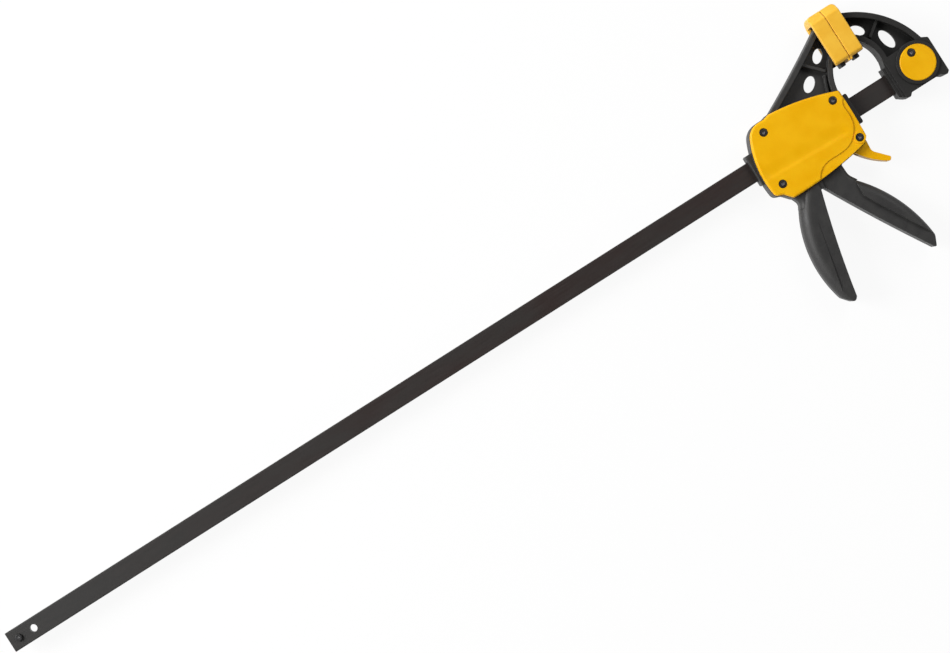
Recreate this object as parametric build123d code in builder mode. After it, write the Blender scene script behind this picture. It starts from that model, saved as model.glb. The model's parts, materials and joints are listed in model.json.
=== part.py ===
"""Quick release bar clamp, one-handed, with a sliding pistol-grip carriage.

X runs along the bar towards the fixed jaw, Y towards the jaw tips and Z across the clamp.
While the pieces are made, X = 0 is the clamping plane and Y = Z = 0 the middle of the bar.
At the end everything moves so that the origin is the bottom centre of the whole clamp.
"""
import os
from math import copysign, cos, hypot, radians, sin, sqrt, tan

from build123d import *

os.makedirs("parts", exist_ok=True)

# ---------------------------------------------------------------- fits
SLIDE = 0.30        # bar in its guides, and moving pieces beside each other
RUN = 0.05          # pins, screws and sleeves in their holes
SEAT = 0.15         # soft pads round the jaw plates, caps in their recesses
OVERLAP = 3.0       # how far one form of a moulding reaches into the next

# ---------------------------------------------------------------- bar
BAR_WIDTH = 19.0
BAR_THICK = 6.0
BAR_LENGTH = 963.6
BAR_NOSE = 62.5             # from the clamping plane to the end inside the fixed jaw
BAR_EDGE = 0.8
STOP_PIN_END = 9.0          # from the free end of the bar
STOP_PIN_RADIUS = 3.2
STOP_PIN_BORE = 1.1
STOP_PIN_PROUD = 2.6
PIN_EDGE = 0.5
HANG_HOLE_END = 24.3
HANG_HOLE_RADIUS = 3.5

# ---------------------------------------------------------------- jaws
THROAT = 79.0               # from the bar's edge to the end of the pads
JAW_GAP = 0.3               # between the pads of the closed jaws
PAD_THICK = 14.0
PAD_HALF = 19.0
PAD_FACE = 2.9
PAD_LIP = 2.2               # tongue of the pad's face below its foot
PAD_END_WALL = 4.2
PAD_CORNER = 4.0
PAD_END_BEVEL = 7.5
PAD_FOOT_BEVEL = 2.4
PAD_LENGTH = 49.2
PAD_FACE_LENGTH = 51.4
PLATE_THICK = 7.4
PLATE_HALF = 15.0
PLATE_LENGTH = 44.4
PLATE_ROUND = 1.0
PLATE_FOOT = (4.9, 9.2)     # tongue of the jaw plate below the pad, from and to
PLATE_FOOT_HALF = 9.0
PLATE_FOOT_DROP = 4.4
PAD_BACK_LIP = 4.2          # how far the pad reaches down behind the plate's end
ARM_ROOT = 3.0              # how far the arms run into the jaw plates
FLANGE = 4.8                # edges of the arms
WEB_HALF = 2.0
RIB_WIDTH = 2.4
RIB_HALF = 8.5
ARM_EDGE = 0.8
WINDOW_SLIM = (7.0, 4.3)    # half axes of the oval windows in the webs
WINDOW_ROUND = (7.8, 4.8)
WINDOW_LONG = (9.8, 5.0)

# ---------------------------------------------------------------- carriage housing and covers
FRAME_HALF = 12.0
WALL = 3.0
RIM = 0.5                   # frame standing out round the covers
COVER_HEIGHT = 5.5
COVER_WALL = 2.3
COVER_EDGE = 2.0
COVER_STEP = 0.9
COVER_CREASE = 1.2          # sink of the crease at the rear, running out towards the front
CREASE_Y = -12.0
CREASE_SLOPE = 9.0
CREASE_FOOT = 1.8
CREASE_LENGTH = 92.0
SCREW_RING_RADIUS = 5.4
PIVOT_BOSS = 3.0            # wall of the bosses round the trigger's pin
GUIDE_LENGTH = 5.0
COLLAR_HALF = 10.0
COLLAR_MARGIN = 5.4         # collar round the bar's edges
COLLAR_ROUND = 2.0
COLLAR_EDGE = 0.8

SCREW_REAR_TOP = (-99.5, 24.2)
SCREW_FRONT_TOP = (-33.1, 15.4)
SCREW_LEVER = (-30.3, -24.6)
SCREW_REAR_LOW = (-109.3, -23.0)
SCREW_RADIUS = 1.75
SCREW_HEAD_RADIUS = 3.7
SCREW_HEAD_HEIGHT = 2.6
SCREW_SINK = 0.5
SCREW_BLIND = 1.4           # plastic left under the tip of a screw
SOCKET_RADIUS = 1.6
SOCKET_DEPTH = 1.6
BOSS_RADIUS = 4.2

# ---------------------------------------------------------------- handle
HANDLE_HALF = 13.5
HANDLE_DEPTH = 45.0
HANDLE_ROUND = 9.0
HANDLE_CREASE_TOP = (-98.8, -60.4)
HANDLE_CREASE_FOOT = (-115.6, -134.8)
HANDLE_CREASE = 1.2         # sink of the flat strip before the crease, at its foot
HANDLE_HEEL_ROUND = 6.0
HANDLE_WALL = 2.6
HANDLE_BACK_CENTRE = (-11.35, -106.2)
HANDLE_BACK_RADIUS = 111.0
HANDLE_APEX = (-82.7, -44.6)
HANDLE_FRONT_FOOT = (-106.4, -141.3)
HANDLE_FRONT_BOW = 1.4
HANDLE_TIP = (-109.9, -145.2)
HANDLE_HEEL_Y = -135.4
HANDLE_TIP_ROUND = 2.5
HOLLOW_POINTS = ((-78.0, -38.0), (-103.5, -38.0), (-118.0, -60.0), (-126.0, -100.0), (-126.0, -129.0),
                 (-118.5, -133.0), (-112.0, -139.0), (-104.0, -137.0), (-92.0, -137.0), (-70.0, -45.0))
NECK_TOP = (-109.2, -34.8)
NECK_WAIST_Y = -45.8
NECK_FOOT_Y = -50.5
NECK_INNER = ((-98.0, -52.0), (-95.0, -36.0))
NECK_BEND = 6.0
NECK_ROUND = 5.0
NECK_HOLLOW_X = -103.9
NECK_CUT = 15.5             # way from the housing into the hollow handle
FLOOR_CUT = 10.0

# ---------------------------------------------------------------- trigger
TRIGGER_TRAVEL = 22.0       # degrees
TRIGGER_PIVOT_X = -68.0
TRIGGER_PIVOT_RISE = 8.0    # above the bar's edge
TRIGGER_EYE = 7.0
TRIGGER_HALF = 9.5
TRIGGER_GRIP_HALF = 12.5
TRIGGER_GRIP_ROUND = 7.0
TRIGGER_ROOT_ROUND = 4.0
TRIGGER_KNEE_ROUND = 12.0
TRIGGER_TOE_ROUND = 4.0
TRIGGER_TIP_ROUND = 1.2
TRIGGER_GRIP_DEPTH = 60.0
TRIGGER_SWEEP = 1.5         # between the trigger's shoulder and the drive plates
TRIGGER_TOP_ANGLE = 19.0    # fork opening beyond the travel
TRIGGER_FRONT_CENTRE = (-149.4, -142.9)
TRIGGER_FRONT_RADIUS = 131.6
TRIGGER_APEX = (-79.2, -44.8)
TRIGGER_BACK_BOW = 1.0
TRIGGER_TIP = (-23.5, -143.0)
TRIGGER_TOE_Y = -131.5
TRIGGER_ROOT_FRONT = (-55.1, -37.0)
TRIGGER_KNEE = (-54.8, -47.5)
TRIGGER_GRIP_START_Y = -61.8
TRIGGER_SHOULDER_X = (-78.6, -72.3)
TRIGGER_ARM_FRONT = (-59.0, -12.0)
TRIGGER_ARM_REAR = (-71.9, -17.5)
TRIGGER_CREASE = ((-52.9, -55.1), (-53.6, -70.1), (-44.1, -87.7), (-19.1, -131.2))
TRIGGER_SLOT_SIDE = 0.8     # between the trigger's arms and the bar
TRIGGER_PIN_RADIUS = 2.5
TRIGGER_PIN_EDGE = 0.4
NOSE_RADIUS = 3.0
NOSE_BACK = 7.5             # nose centre behind and below the pivot
NOSE_DROP = 19.0
NOSE_CHIN = (2.0, -2.2)      # corner in front of the nose's centre and below it

# ---------------------------------------------------------------- drive plates and spring
DRIVE_PLATE = 3.0
DRIVE_PLATE_HALF = 9.0
DRIVE_PLATE_MARGIN = 3.5    # steel above and below the bar
DRIVE_WIRE = 1.6
DRIVE_COILS = 6
DRIVE_CORNER = 2.0
WIRE_SIDES = 6
SPRING_SEAT_X = -114.6
PLATE_GAP = 0.05
COLLAR_REAR_X = -124.3
REAR_COLLAR = 8.0
COLLAR_FRONT_X = -18.8
FRONT_COLLAR = 6.0

# ---------------------------------------------------------------- brake plates, spring and release lever
BRAKE_X = -40.0
BRAKE_PLATE = 2.4
BRAKE_PLATES = 2
BRAKE_TILT = 2.1            # degrees
BRAKE_PIVOT_RISE = 9.0      # above the bar's edge
BRAKE_TOP = 0.5             # steel above the pivot line
BRAKE_HALF = 9.0
BRAKE_TONGUE_HALF = 4.0
BRAKE_SHOULDER_Y = -19.5
BRAKE_FOOT_Y = -33.0
BRAKE_WIRE = 0.8
BRAKE_COIL_RADIUS = 2.8
BRAKE_COILS = 4
BRAKE_SPRING_DROP = 7.0     # below the bar's edge
BRAKE_NOTCH = (13.0, 10.0)
BRAKE_NOTCH_FIT = 1.0
STOP_RIB_X = -54.4
STOP_RIB = 2.2
STOP_RIB_LENGTH = 22.6
LEVER_HALF = 7.9
LEVER_HUB = 5.0
LEVER_BEND_ROUND = 6.0
LEVER_TIP_ROUND = 1.6
LEVER_SLOT_TOP = -27.0
LEVER_SLOT_FRONT = -24.8
LEVER_SLOT_DEPTH = 12.0
LEVER_NOSE_PROUD = 1.9
LEVER_POCKET = 20.0
LEVER_NOSE_RADIUS = 1.5
LEVER_NOSE = (-33.9, -31.0)
LEVER_POCKET_FOOT = -37.6
LEVER_SLOT_X = -46.2
LEVER_TRAVEL = 18.0         # degrees
LEVER_HEEL = (-42.8, -31.2)
LEVER_ROOT = (-40.6, -33.0)
LEVER_TIP_LOW = (-16.7, -56.7)
LEVER_TIP_HIGH = (-14.2, -53.7)
LEVER_BEND = (-26.4, -40.5)
LEVER_SHOULDER = (-25.6, -31.0)
LEVER_BOW = 2.0
SLEEVE_RADIUS = 2.75
SLEEVE_BORE = 1.95

# ---------------------------------------------------------------- fixed jaw
HEAD_END = 68.5
HEAD_FOOT = -15.8
HEAD_FOOT_SPAN = (30.6, 60.0)
HEAD_SHOULDER_Y = 18.0
HEAD_HEEL_Y = -16.8
HEAD_LUG = ((66.0, -18.7), (63.6, -18.2))
HEAD_TOE = ((27.6, -18.7), (24.0, -17.0))
HEAD_MOUTH = (19.0, -13.6)
HEAD_COLLAR_MARGIN = 5.9    # block beside the bar's edges at the throat
HEAD_BLOCK = 6.5            # solid above that collar
HEAD_STEPS = (21.6, 24.0)   # where the block gets thicker
HEAD_STEP = 1.0
HEAD_ROUND = 2.0
HEAD_LOW_ROUND = 1.5
HEAD_ARC_FOOT = 21.0
HEAD_ARC_CENTRE = (-18.1, -0.7)
HEAD_ARC_RADIUS = 84.0
HEAD_THROAT_CENTRE = (-7.5, 26.0)
HEAD_THROAT_RADIUS = 31.3
CAP_CENTRE = (48.9, 3.8)
CAP_RADIUS = 16.2
CAP_THICK = 4.4
CAP_EDGE = 0.6
CAP_RELIEF = 0.4
CAP_PROUD = 0.7
CAP_RING = 3.0
CAP_RING_HALF = 13.6
CAP_SCREW = (48.3, 14.0)
LOCK_PIN_RADIUS = 3.45
HEAD_RIB = (32.7, 49.7)
HEAD_RIB_LENGTH = 17.0
HEAD_RIB_ANGLE = 36.9
HEAD_WINDOW_TOP = (21.0, 56.1)
HEAD_WINDOW_LOW = (39.1, 35.8)

# ---------------------------------------------------------------- moving jaw arm
ARM_HEEL = (-93.0, 32.0)
ARM_TIP = (-7.2, 80.3)
ARM_BOW = 1.2
ARM_THROAT_FOOT = (-24.0, 16.0)
ARM_THROAT_TOP = (-7.2, 49.6)
ARM_THROAT_BOW = 4.2
ARM_RIB = (-30.4, 48.7)
ARM_RIB_LENGTH = 21.6
ARM_RIB_ANGLE = -46.8
ARM_STEP = (-28.6, 30.0)    # low rib along the inner edge
ARM_STEP_SIZE = (18.0, 2.0)
ARM_STEP_ANGLE = 69.5
ARM_STEP_HALF = 7.0
ARM_WINDOW_TOP = (-21.0, 55.7)
ARM_WINDOW_LOW = (-40.4, 38.5)

# ---------------------------------------------------------------- outline of the covers
COVER_HEEL = (-120.2, -28.9)
COVER_REAR = (-119.8, 3.0)
COVER_CROWN = (-107.9, 34.0)
COVER_BUMP_FOOT = (-92.6, 33.9)
COVER_BUMP_TOP = (-87.9, 35.4)
COVER_TOP_FRONT = (-23.7, 20.0)
COVER_TOP_BOW = 2.55
COVER_FRONT_FOOT = (-24.4, -26.4)
COVER_FRONT_BOW = 0.5
COVER_TOE = (-28.4, -30.9)
COVER_BOTTOM_BOW = 2.4
COVER_NECK = (-107.1, -38.6)
COVER_NECK_BEND = (-113.2, -31.6)
COVER_CROWN_ROUND = 15.0
COVER_BUMP_ROUND = 4.0
COVER_TOP_ROUND = 1.2
COVER_FOOT_ROUND = 2.5
COVER_TOE_ROUND = 2.0
COVER_NECK_ROUND = 1.6
COVER_BEND_ROUND = 5.0
COVER_HEEL_ROUND = 4.5
STEP_LINE = ((-20.0, 14.0), (-27.2, 9.0), (-27.6, -4.0), (-34.4, -19.8), (-42.0, -25.4), (-59.3, -27.3),
             (-68.5, -28.2), (-76.0, -32.6), (-79.5, -44.0))

# ---------------------------------------------------------------- sizes that follow
bar_tail = BAR_NOSE - BAR_LENGTH
bar_edge_y = BAR_WIDTH / 2
pad_top = bar_edge_y + THROAT
plate_top = pad_top - PAD_END_WALL
plate_back = PAD_FACE + PLATE_THICK
cover_top = FRAME_HALF + COVER_HEIGHT
cover_inside = cover_top - COVER_WALL
screw_seat = cover_top - SCREW_SINK - SCREW_HEAD_HEIGHT
trigger_pivot = (TRIGGER_PIVOT_X, bar_edge_y + TRIGGER_PIVOT_RISE)
nose_centre = (trigger_pivot[0] - NOSE_BACK, trigger_pivot[1] - NOSE_DROP)
drive_front = nose_centre[0] - NOSE_RADIUS - SLIDE
drive_back = drive_front - 2 * DRIVE_PLATE - PLATE_GAP
drive_half_y = bar_edge_y + DRIVE_PLATE_MARGIN
nose_turn = radians(TRIGGER_TRAVEL)
drive_stroke = NOSE_BACK * (cos(nose_turn) - 1) + NOSE_DROP * sin(nose_turn)
drive_coil_radius = hypot(BAR_WIDTH, BAR_THICK) / 2 + 2 * SLIDE + DRIVE_WIRE / 2
cap_floor = CAP_RING_HALF + CAP_PROUD - CAP_THICK
cap_seat = cap_floor + CAP_THICK - SCREW_SINK - SCREW_HEAD_HEIGHT
cap_foot = -cap_floor - CAP_THICK + SCREW_BLIND + PIN_EDGE
brake_pack = BRAKE_PLATES * (BRAKE_PLATE + PLATE_GAP) - PLATE_GAP
brake_pivot = (BRAKE_X, bar_edge_y + BRAKE_PIVOT_RISE)
brake_spring_y = -bar_edge_y - BRAKE_SPRING_DROP
stop_rib_front = STOP_RIB_X + STOP_RIB
brake_lean = tan(radians(BRAKE_TILT))
arm_root = plate_back - ARM_ROOT
collar_top = bar_edge_y + HEAD_COLLAR_MARGIN
blind_foot = SCREW_BLIND - 4 * RUN
window_y = BAR_WIDTH + 2 * SLIDE
window_z = BAR_THICK + 2 * SLIDE


def nearest(builder, point):
    """The vertex of a sketch that lies nearest to a point."""
    return builder.vertices().sort_by_distance(point)[0]


def on_arc(centre, radius, x=None, y=None):
    """The point of a circle at a given x, above its centre, or at a given y.

    At a given y it lies on the right, or on the left for a negative radius.
    """
    if x is None:
        return (centre[0] + copysign(sqrt(radius ** 2 - (y - centre[1]) ** 2), radius), y)
    return (x, centre[1] + sqrt(radius ** 2 - (x - centre[0]) ** 2))


# ================================================================ pieces fixed to the bar
with BuildPart() as bar:
    with BuildSketch(Plane.YZ.offset(bar_tail)) as bar_section:
        Rectangle(BAR_WIDTH, BAR_THICK)
        chamfer(bar_section.vertices(), BAR_EDGE)
    extrude(amount=BAR_LENGTH)
    with Locations((bar_tail + HANG_HOLE_END, 0), (CAP_CENTRE[0], 0)):
        Hole(HANG_HOLE_RADIUS)
    with Locations((bar_tail + STOP_PIN_END, 0)):
        Hole(STOP_PIN_RADIUS + RUN)

with BuildPart() as stop_pin:
    with BuildSketch(Plane.XY.offset(-BAR_THICK / 2 - STOP_PIN_PROUD)):
        with Locations((bar_tail + STOP_PIN_END, 0)):
            Circle(STOP_PIN_RADIUS)
            Circle(STOP_PIN_BORE, mode=Mode.SUBTRACT)
    extrude(amount=BAR_THICK + 2 * STOP_PIN_PROUD)
    pin_ends = stop_pin.edges().filter_by(GeomType.CIRCLE)
    chamfer(pin_ends.filter_by(lambda rim: rim.radius > STOP_PIN_BORE + RUN), PIN_EDGE)

# ---------------------------------------------------------------- faces of the fixed jaw
with BuildSketch() as head_face:
    with BuildLine():
        back = RadiusArc(
            on_arc(HEAD_ARC_CENTRE, HEAD_ARC_RADIUS, x=arm_root),
            on_arc(HEAD_ARC_CENTRE, HEAD_ARC_RADIUS, y=HEAD_ARC_FOOT), HEAD_ARC_RADIUS)
        block = Polyline(
            back @ 1, (HEAD_END, HEAD_SHOULDER_Y), (HEAD_END, HEAD_HEEL_Y), *HEAD_LUG,
            (HEAD_FOOT_SPAN[1], HEAD_FOOT), (HEAD_FOOT_SPAN[0], HEAD_FOOT), *HEAD_TOE, HEAD_MOUTH,
            (HEAD_MOUTH[0], collar_top), on_arc(HEAD_THROAT_CENTRE, HEAD_THROAT_RADIUS, y=collar_top))
        throat = RadiusArc(
            block @ 1, on_arc(HEAD_THROAT_CENTRE, HEAD_THROAT_RADIUS, x=arm_root), -HEAD_THROAT_RADIUS)
        Line(throat @ 1, back @ 0)
    make_face()
    fillet(nearest(head_face, (HEAD_END, HEAD_SHOULDER_Y)), HEAD_ROUND)
    for corner in ((HEAD_END, HEAD_HEEL_Y), HEAD_TOE[0]):
        fillet(nearest(head_face, corner), HEAD_LOW_ROUND)

with BuildSketch() as head_recess:
    add(head_face.sketch)
    offset(amount=-FLANGE, kind=Kind.INTERSECTION)
    with Locations((plate_back, collar_top + HEAD_BLOCK)):
        Rectangle(4 * HEAD_END, HEAD_END, align=(Align.CENTER, Align.MAX), mode=Mode.SUBTRACT)
    with Locations(CAP_CENTRE):
        Circle(CAP_RADIUS + CAP_RING + CAP_RELIEF, mode=Mode.SUBTRACT)

with BuildPart() as jaw_plate:
    with BuildSketch() as plate_face:
        with Locations((PAD_FACE, plate_top)):
            Rectangle(PLATE_THICK, PLATE_LENGTH, align=(Align.MIN, Align.MAX))
        fillet(plate_face.vertices().group_by(Axis.Y)[0], PLATE_ROUND)
    extrude(amount=PLATE_HALF, both=True)
    with BuildSketch() as foot_face:
        with Locations((PLATE_FOOT[0], plate_top - PLATE_LENGTH - PLATE_FOOT_DROP)):
            Rectangle(PLATE_FOOT[1] - PLATE_FOOT[0], 2 * PLATE_FOOT_DROP, align=(Align.MIN, Align.MIN))
        fillet(foot_face.vertices().group_by(Axis.Y)[0], PLATE_ROUND)
    extrude(amount=PLATE_FOOT_HALF, both=True)

with BuildPart() as fixed_jaw:
    with BuildSketch():
        add(head_face.sketch)
    extrude(amount=FRAME_HALF, both=True)
    # the block round the bar steps back in two stages towards the throat
    for number, step_x in enumerate(HEAD_STEPS):
        for side in (1, -1):
            with BuildSketch(Plane.XY.offset(side * (COLLAR_HALF + number * HEAD_STEP))):
                with Locations((step_x, 0)):
                    Rectangle(step_x, 3 * collar_top, align=(Align.MAX, Align.CENTER))
            extrude(amount=side * FRAME_HALF, mode=Mode.SUBTRACT)
    # recesses on both sides of the web, with one rib across them
    for side in (1, -1):
        with BuildSketch(Plane.XY.offset(side * WEB_HALF)):
            add(head_recess.sketch)
        extrude(amount=side * FRAME_HALF, mode=Mode.SUBTRACT)
    with BuildSketch():
        with Locations(HEAD_RIB):
            Rectangle(HEAD_RIB_LENGTH, RIB_WIDTH, rotation=HEAD_RIB_ANGLE)
    extrude(amount=RIB_HALF, both=True)
    with BuildSketch():
        with Locations(HEAD_WINDOW_TOP):
            Ellipse(*WINDOW_SLIM, rotation=-45)
        with Locations(HEAD_WINDOW_LOW):
            Ellipse(*WINDOW_LONG, rotation=103)
    extrude(amount=FRAME_HALF, both=True, mode=Mode.SUBTRACT)
    # jaw plate
    add(jaw_plate.part)
    # round boss with a recess for a cap on each side
    with BuildSketch():
        with Locations(CAP_CENTRE):
            Circle(CAP_RADIUS + CAP_RING)
    extrude(amount=CAP_RING_HALF, both=True)
    for side in (1, -1):
        with BuildSketch(Plane.XY.offset(side * cap_floor)):
            with Locations(CAP_CENTRE):
                Circle(CAP_RADIUS + SEAT)
        extrude(amount=side * FRAME_HALF, mode=Mode.SUBTRACT)
    # slot for the bar, holes for the screw and the lock pin
    with BuildSketch(Plane.YZ):
        Rectangle(window_y, window_z)
    extrude(amount=BAR_NOSE + SLIDE, mode=Mode.SUBTRACT)
    with Locations(CAP_SCREW):
        Hole(SCREW_RADIUS + SEAT)
    with Locations((CAP_CENTRE[0], 0)):
        Hole(LOCK_PIN_RADIUS + RUN)

with BuildPart() as jaw_cap_front:
    with BuildSketch(Plane.XY.offset(cap_floor)):
        with Locations(CAP_CENTRE):
            Circle(CAP_RADIUS)
    extrude(amount=CAP_THICK)
    chamfer(jaw_cap_front.edges().group_by(Axis.Z)[-1], CAP_EDGE)
    with Locations((*CAP_SCREW, cap_floor + CAP_THICK)):
        CounterBoreHole(SCREW_RADIUS + SEAT, SCREW_HEAD_RADIUS + SEAT, SCREW_HEAD_HEIGHT + SCREW_SINK)

with BuildPart() as jaw_cap_rear:
    with BuildSketch(Plane.XY.offset(-cap_floor - CAP_THICK)):
        with Locations(CAP_CENTRE):
            Circle(CAP_RADIUS)
    extrude(amount=CAP_THICK)
    chamfer(jaw_cap_rear.edges().group_by(Axis.Z)[0], CAP_EDGE)
    with BuildSketch(Plane.XY.offset(-cap_floor)):
        with Locations(CAP_SCREW):
            Circle(SCREW_RADIUS + RUN)
    extrude(amount=PIN_EDGE + SCREW_BLIND - CAP_THICK, mode=Mode.SUBTRACT)

with BuildPart() as jaw_lock_pin:
    with BuildSketch(Plane.XY.offset(-cap_floor + SEAT)):
        with Locations((CAP_CENTRE[0], 0)):
            Circle(LOCK_PIN_RADIUS)
    extrude(amount=2 * (cap_floor - SEAT))
    chamfer(jaw_lock_pin.edges().filter_by(GeomType.CIRCLE), PIN_EDGE)


def screw(place, seat_z, foot_z):
    """A pan head screw with a hexagon socket, its head above the seat and its shank below."""
    with BuildPart() as blank:
        with BuildSketch(Plane.XY.offset(foot_z)):
            with Locations(place):
                Circle(SCREW_RADIUS)
        extrude(amount=seat_z - foot_z)
        with BuildSketch(Plane.XY.offset(seat_z)):
            with Locations(place):
                Circle(SCREW_HEAD_RADIUS)
        extrude(amount=SCREW_HEAD_HEIGHT)
        with BuildSketch(Plane.XY.offset(seat_z + SCREW_HEAD_HEIGHT)):
            with Locations(place):
                RegularPolygon(SOCKET_RADIUS, 6)
        extrude(amount=-SOCKET_DEPTH, mode=Mode.SUBTRACT)
    return blank.part


with BuildPart() as jaw_cap_screw:
    add(screw(CAP_SCREW, cap_seat, cap_foot))

with BuildPart() as cover_screws:
    for place in (SCREW_REAR_TOP, SCREW_FRONT_TOP, SCREW_LEVER, SCREW_REAR_LOW):
        add(screw(place, screw_seat, -cover_top + SCREW_BLIND))

# ================================================================ pads
with BuildSketch() as pad_face:
    with Locations((JAW_GAP / 2, pad_top)):
        Rectangle(PAD_THICK - JAW_GAP / 2, PAD_LENGTH, align=(Align.MIN, Align.MAX))
    fillet(nearest(pad_face, (PAD_THICK, pad_top)), PAD_CORNER)

with BuildPart() as fixed_pad:
    with BuildSketch():
        add(pad_face.sketch)
    extrude(amount=PAD_HALF, both=True)
    # the end slopes down to both sides, the foot has a small bevel
    with BuildSketch(Plane.YZ) as pad_slopes:
        for side in (1, -1):
            with BuildLine():
                Polyline(
                    (pad_top - PAD_END_BEVEL, side * PAD_HALF), (pad_top, side * (PAD_HALF - PAD_END_BEVEL)),
                    (pad_top, side * PAD_HALF), close=True)
            make_face()
    extrude(amount=PAD_THICK, mode=Mode.SUBTRACT)
    chamfer(fixed_pad.edges().filter_by(Axis.X).group_by(Axis.Y)[0], PAD_FOOT_BEVEL)
    with BuildSketch():
        with Locations((JAW_GAP / 2, pad_top - OVERLAP)):
            Rectangle(PAD_LIP - JAW_GAP / 2, PAD_FACE_LENGTH - OVERLAP, align=(Align.MIN, Align.MAX))
    extrude(amount=PAD_HALF - PAD_FOOT_BEVEL, both=True)
    # pocket for the jaw plate, open at the foot, and the slot at the back for the arm
    with BuildSketch():
        with Locations((PAD_FACE - SEAT, plate_top + SEAT)):
            Rectangle(PLATE_THICK + 2 * SEAT, 2 * PAD_LENGTH, align=(Align.MIN, Align.MAX))
    extrude(amount=PLATE_HALF + SEAT, both=True, mode=Mode.SUBTRACT)
    with BuildSketch():
        with Locations((plate_back, plate_top - PAD_BACK_LIP)):
            Rectangle(PAD_THICK, 2 * PAD_LENGTH, align=(Align.MIN, Align.MAX))
    extrude(amount=FRAME_HALF + SLIDE, both=True, mode=Mode.SUBTRACT)

with BuildPart() as moving_pad:
    add(fixed_pad.part.mirror(Plane.YZ))

# ================================================================ covers
with BuildSketch() as cover_face:
    with BuildLine():
        rear = ThreePointArc(COVER_HEEL, COVER_REAR, COVER_CROWN)
        crown = Polyline(rear @ 1, COVER_BUMP_FOOT, COVER_BUMP_TOP)
        top = SagittaArc(crown @ 1, COVER_TOP_FRONT, COVER_TOP_BOW)
        front = SagittaArc(top @ 1, COVER_FRONT_FOOT, COVER_FRONT_BOW)
        toe = Line(front @ 1, COVER_TOE)
        bottom = SagittaArc(toe @ 1, COVER_NECK, COVER_BOTTOM_BOW)
        Polyline(bottom @ 1, COVER_NECK_BEND, COVER_HEEL)
    make_face()
    for corner, radius in (
            (COVER_CROWN, COVER_CROWN_ROUND), (COVER_BUMP_FOOT, COVER_BUMP_ROUND),
            (COVER_BUMP_TOP, COVER_BUMP_ROUND), (COVER_TOP_FRONT, COVER_TOP_ROUND),
            (COVER_FRONT_FOOT, COVER_FOOT_ROUND), (COVER_TOE, COVER_TOE_ROUND),
            (COVER_NECK, COVER_NECK_ROUND), (COVER_NECK_BEND, COVER_BEND_ROUND),
            (COVER_HEEL, COVER_HEEL_ROUND)):
        fillet(nearest(cover_face, corner), radius)

with BuildSketch() as cover_pocket:
    add(cover_face.sketch)
    offset(amount=-COVER_WALL, kind=Kind.INTERSECTION)

posts = (SCREW_REAR_TOP, SCREW_FRONT_TOP, SCREW_REAR_LOW)
with BuildPart() as cover_blank:
    with BuildSketch(Plane.XY.offset(FRAME_HALF)):
        add(cover_face.sketch)
    extrude(amount=COVER_HEIGHT)
    fillet(cover_blank.edges().group_by(Axis.Z)[-1], COVER_EDGE)
    # border along the lower front edge, a step below the main field
    with BuildSketch(Plane.XY.offset(cover_top)):
        with BuildLine():
            rise = Spline(*STEP_LINE)
            Polyline(rise @ 1, (0, STEP_LINE[-1][1]), (0, STEP_LINE[0][1]), rise @ 0)
        make_face()
    extrude(amount=-COVER_STEP, mode=Mode.SUBTRACT)
    # long crease below the middle, deepest at the rear
    crease_start = Plane(
        origin=(COVER_HEEL[0], 0, cover_top), x_dir=(0, 1, 0), z_dir=(CREASE_LENGTH, 0, COVER_CREASE))
    with BuildSketch(crease_start.offset(-OVERLAP)):
        Polygon(
            (CREASE_Y + CREASE_SLOPE, 0), (CREASE_Y, -COVER_CREASE), (CREASE_Y - CREASE_FOOT, 0), align=None)
    extrude(amount=CREASE_LENGTH + 2 * OVERLAP, mode=Mode.SUBTRACT)
    # ring round the screw that stands in the border
    with BuildSketch(Plane.XY.offset(cover_inside)):
        with Locations(SCREW_LEVER):
            Circle(SCREW_RING_RADIUS)
    extrude(amount=cover_top - cover_inside)
    # hollow inside, with bosses for the screws and the pivots
    with BuildSketch(Plane.XY.offset(FRAME_HALF)):
        add(cover_pocket.sketch)
    extrude(amount=cover_inside - FRAME_HALF, mode=Mode.SUBTRACT)
    with BuildSketch(Plane.XY.offset(FRAME_HALF)):
        with Locations(*posts):
            Circle(BOSS_RADIUS)
    extrude(amount=cover_inside - FRAME_HALF)
    with BuildSketch(Plane.XY.offset(LEVER_HALF + SLIDE)):
        with Locations(SCREW_LEVER):
            Circle(BOSS_RADIUS)
    extrude(amount=cover_inside - LEVER_HALF - SLIDE)
    with BuildSketch(Plane.XY.offset(TRIGGER_HALF + SLIDE)):
        with Locations(trigger_pivot):
            Circle(TRIGGER_PIN_RADIUS + PIVOT_BOSS)
    extrude(amount=cover_inside - TRIGGER_HALF - SLIDE)
    with BuildSketch(Plane.XY.offset(cover_inside)):
        with Locations(trigger_pivot):
            Circle(TRIGGER_PIN_RADIUS + RUN)
    extrude(amount=-cover_inside, mode=Mode.SUBTRACT)

with BuildPart() as front_cover:
    add(cover_blank.part)
    for place in (*posts, SCREW_LEVER):
        with Locations((*place, cover_top)):
            CounterBoreHole(SCREW_RADIUS + SEAT, SCREW_HEAD_RADIUS + SEAT, cover_top - screw_seat)

with BuildPart() as rear_cover:
    add(cover_blank.part.mirror(Plane.XY))
    for place in (*posts, SCREW_LEVER):
        with BuildSketch(Plane.XY.offset(-cover_top + blind_foot)):
            with Locations(place):
                Circle(SCREW_RADIUS + RUN)
        extrude(amount=cover_top, mode=Mode.SUBTRACT)

# ================================================================ body frame
with BuildSketch() as housing_face:
    add(cover_face.sketch)
    offset(amount=RIM, kind=Kind.INTERSECTION)

with BuildSketch() as arm_face:
    with BuildLine():
        ridge = SagittaArc(ARM_HEEL, ARM_TIP, -ARM_BOW)
        Line(ridge @ 1, ARM_THROAT_TOP)
        inner = SagittaArc(ARM_THROAT_TOP, ARM_THROAT_FOOT, -ARM_THROAT_BOW)
        Polyline(inner @ 1, (ARM_THROAT_FOOT[0] - 2 * FLANGE, 0.0), ARM_HEEL)
    make_face()

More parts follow.
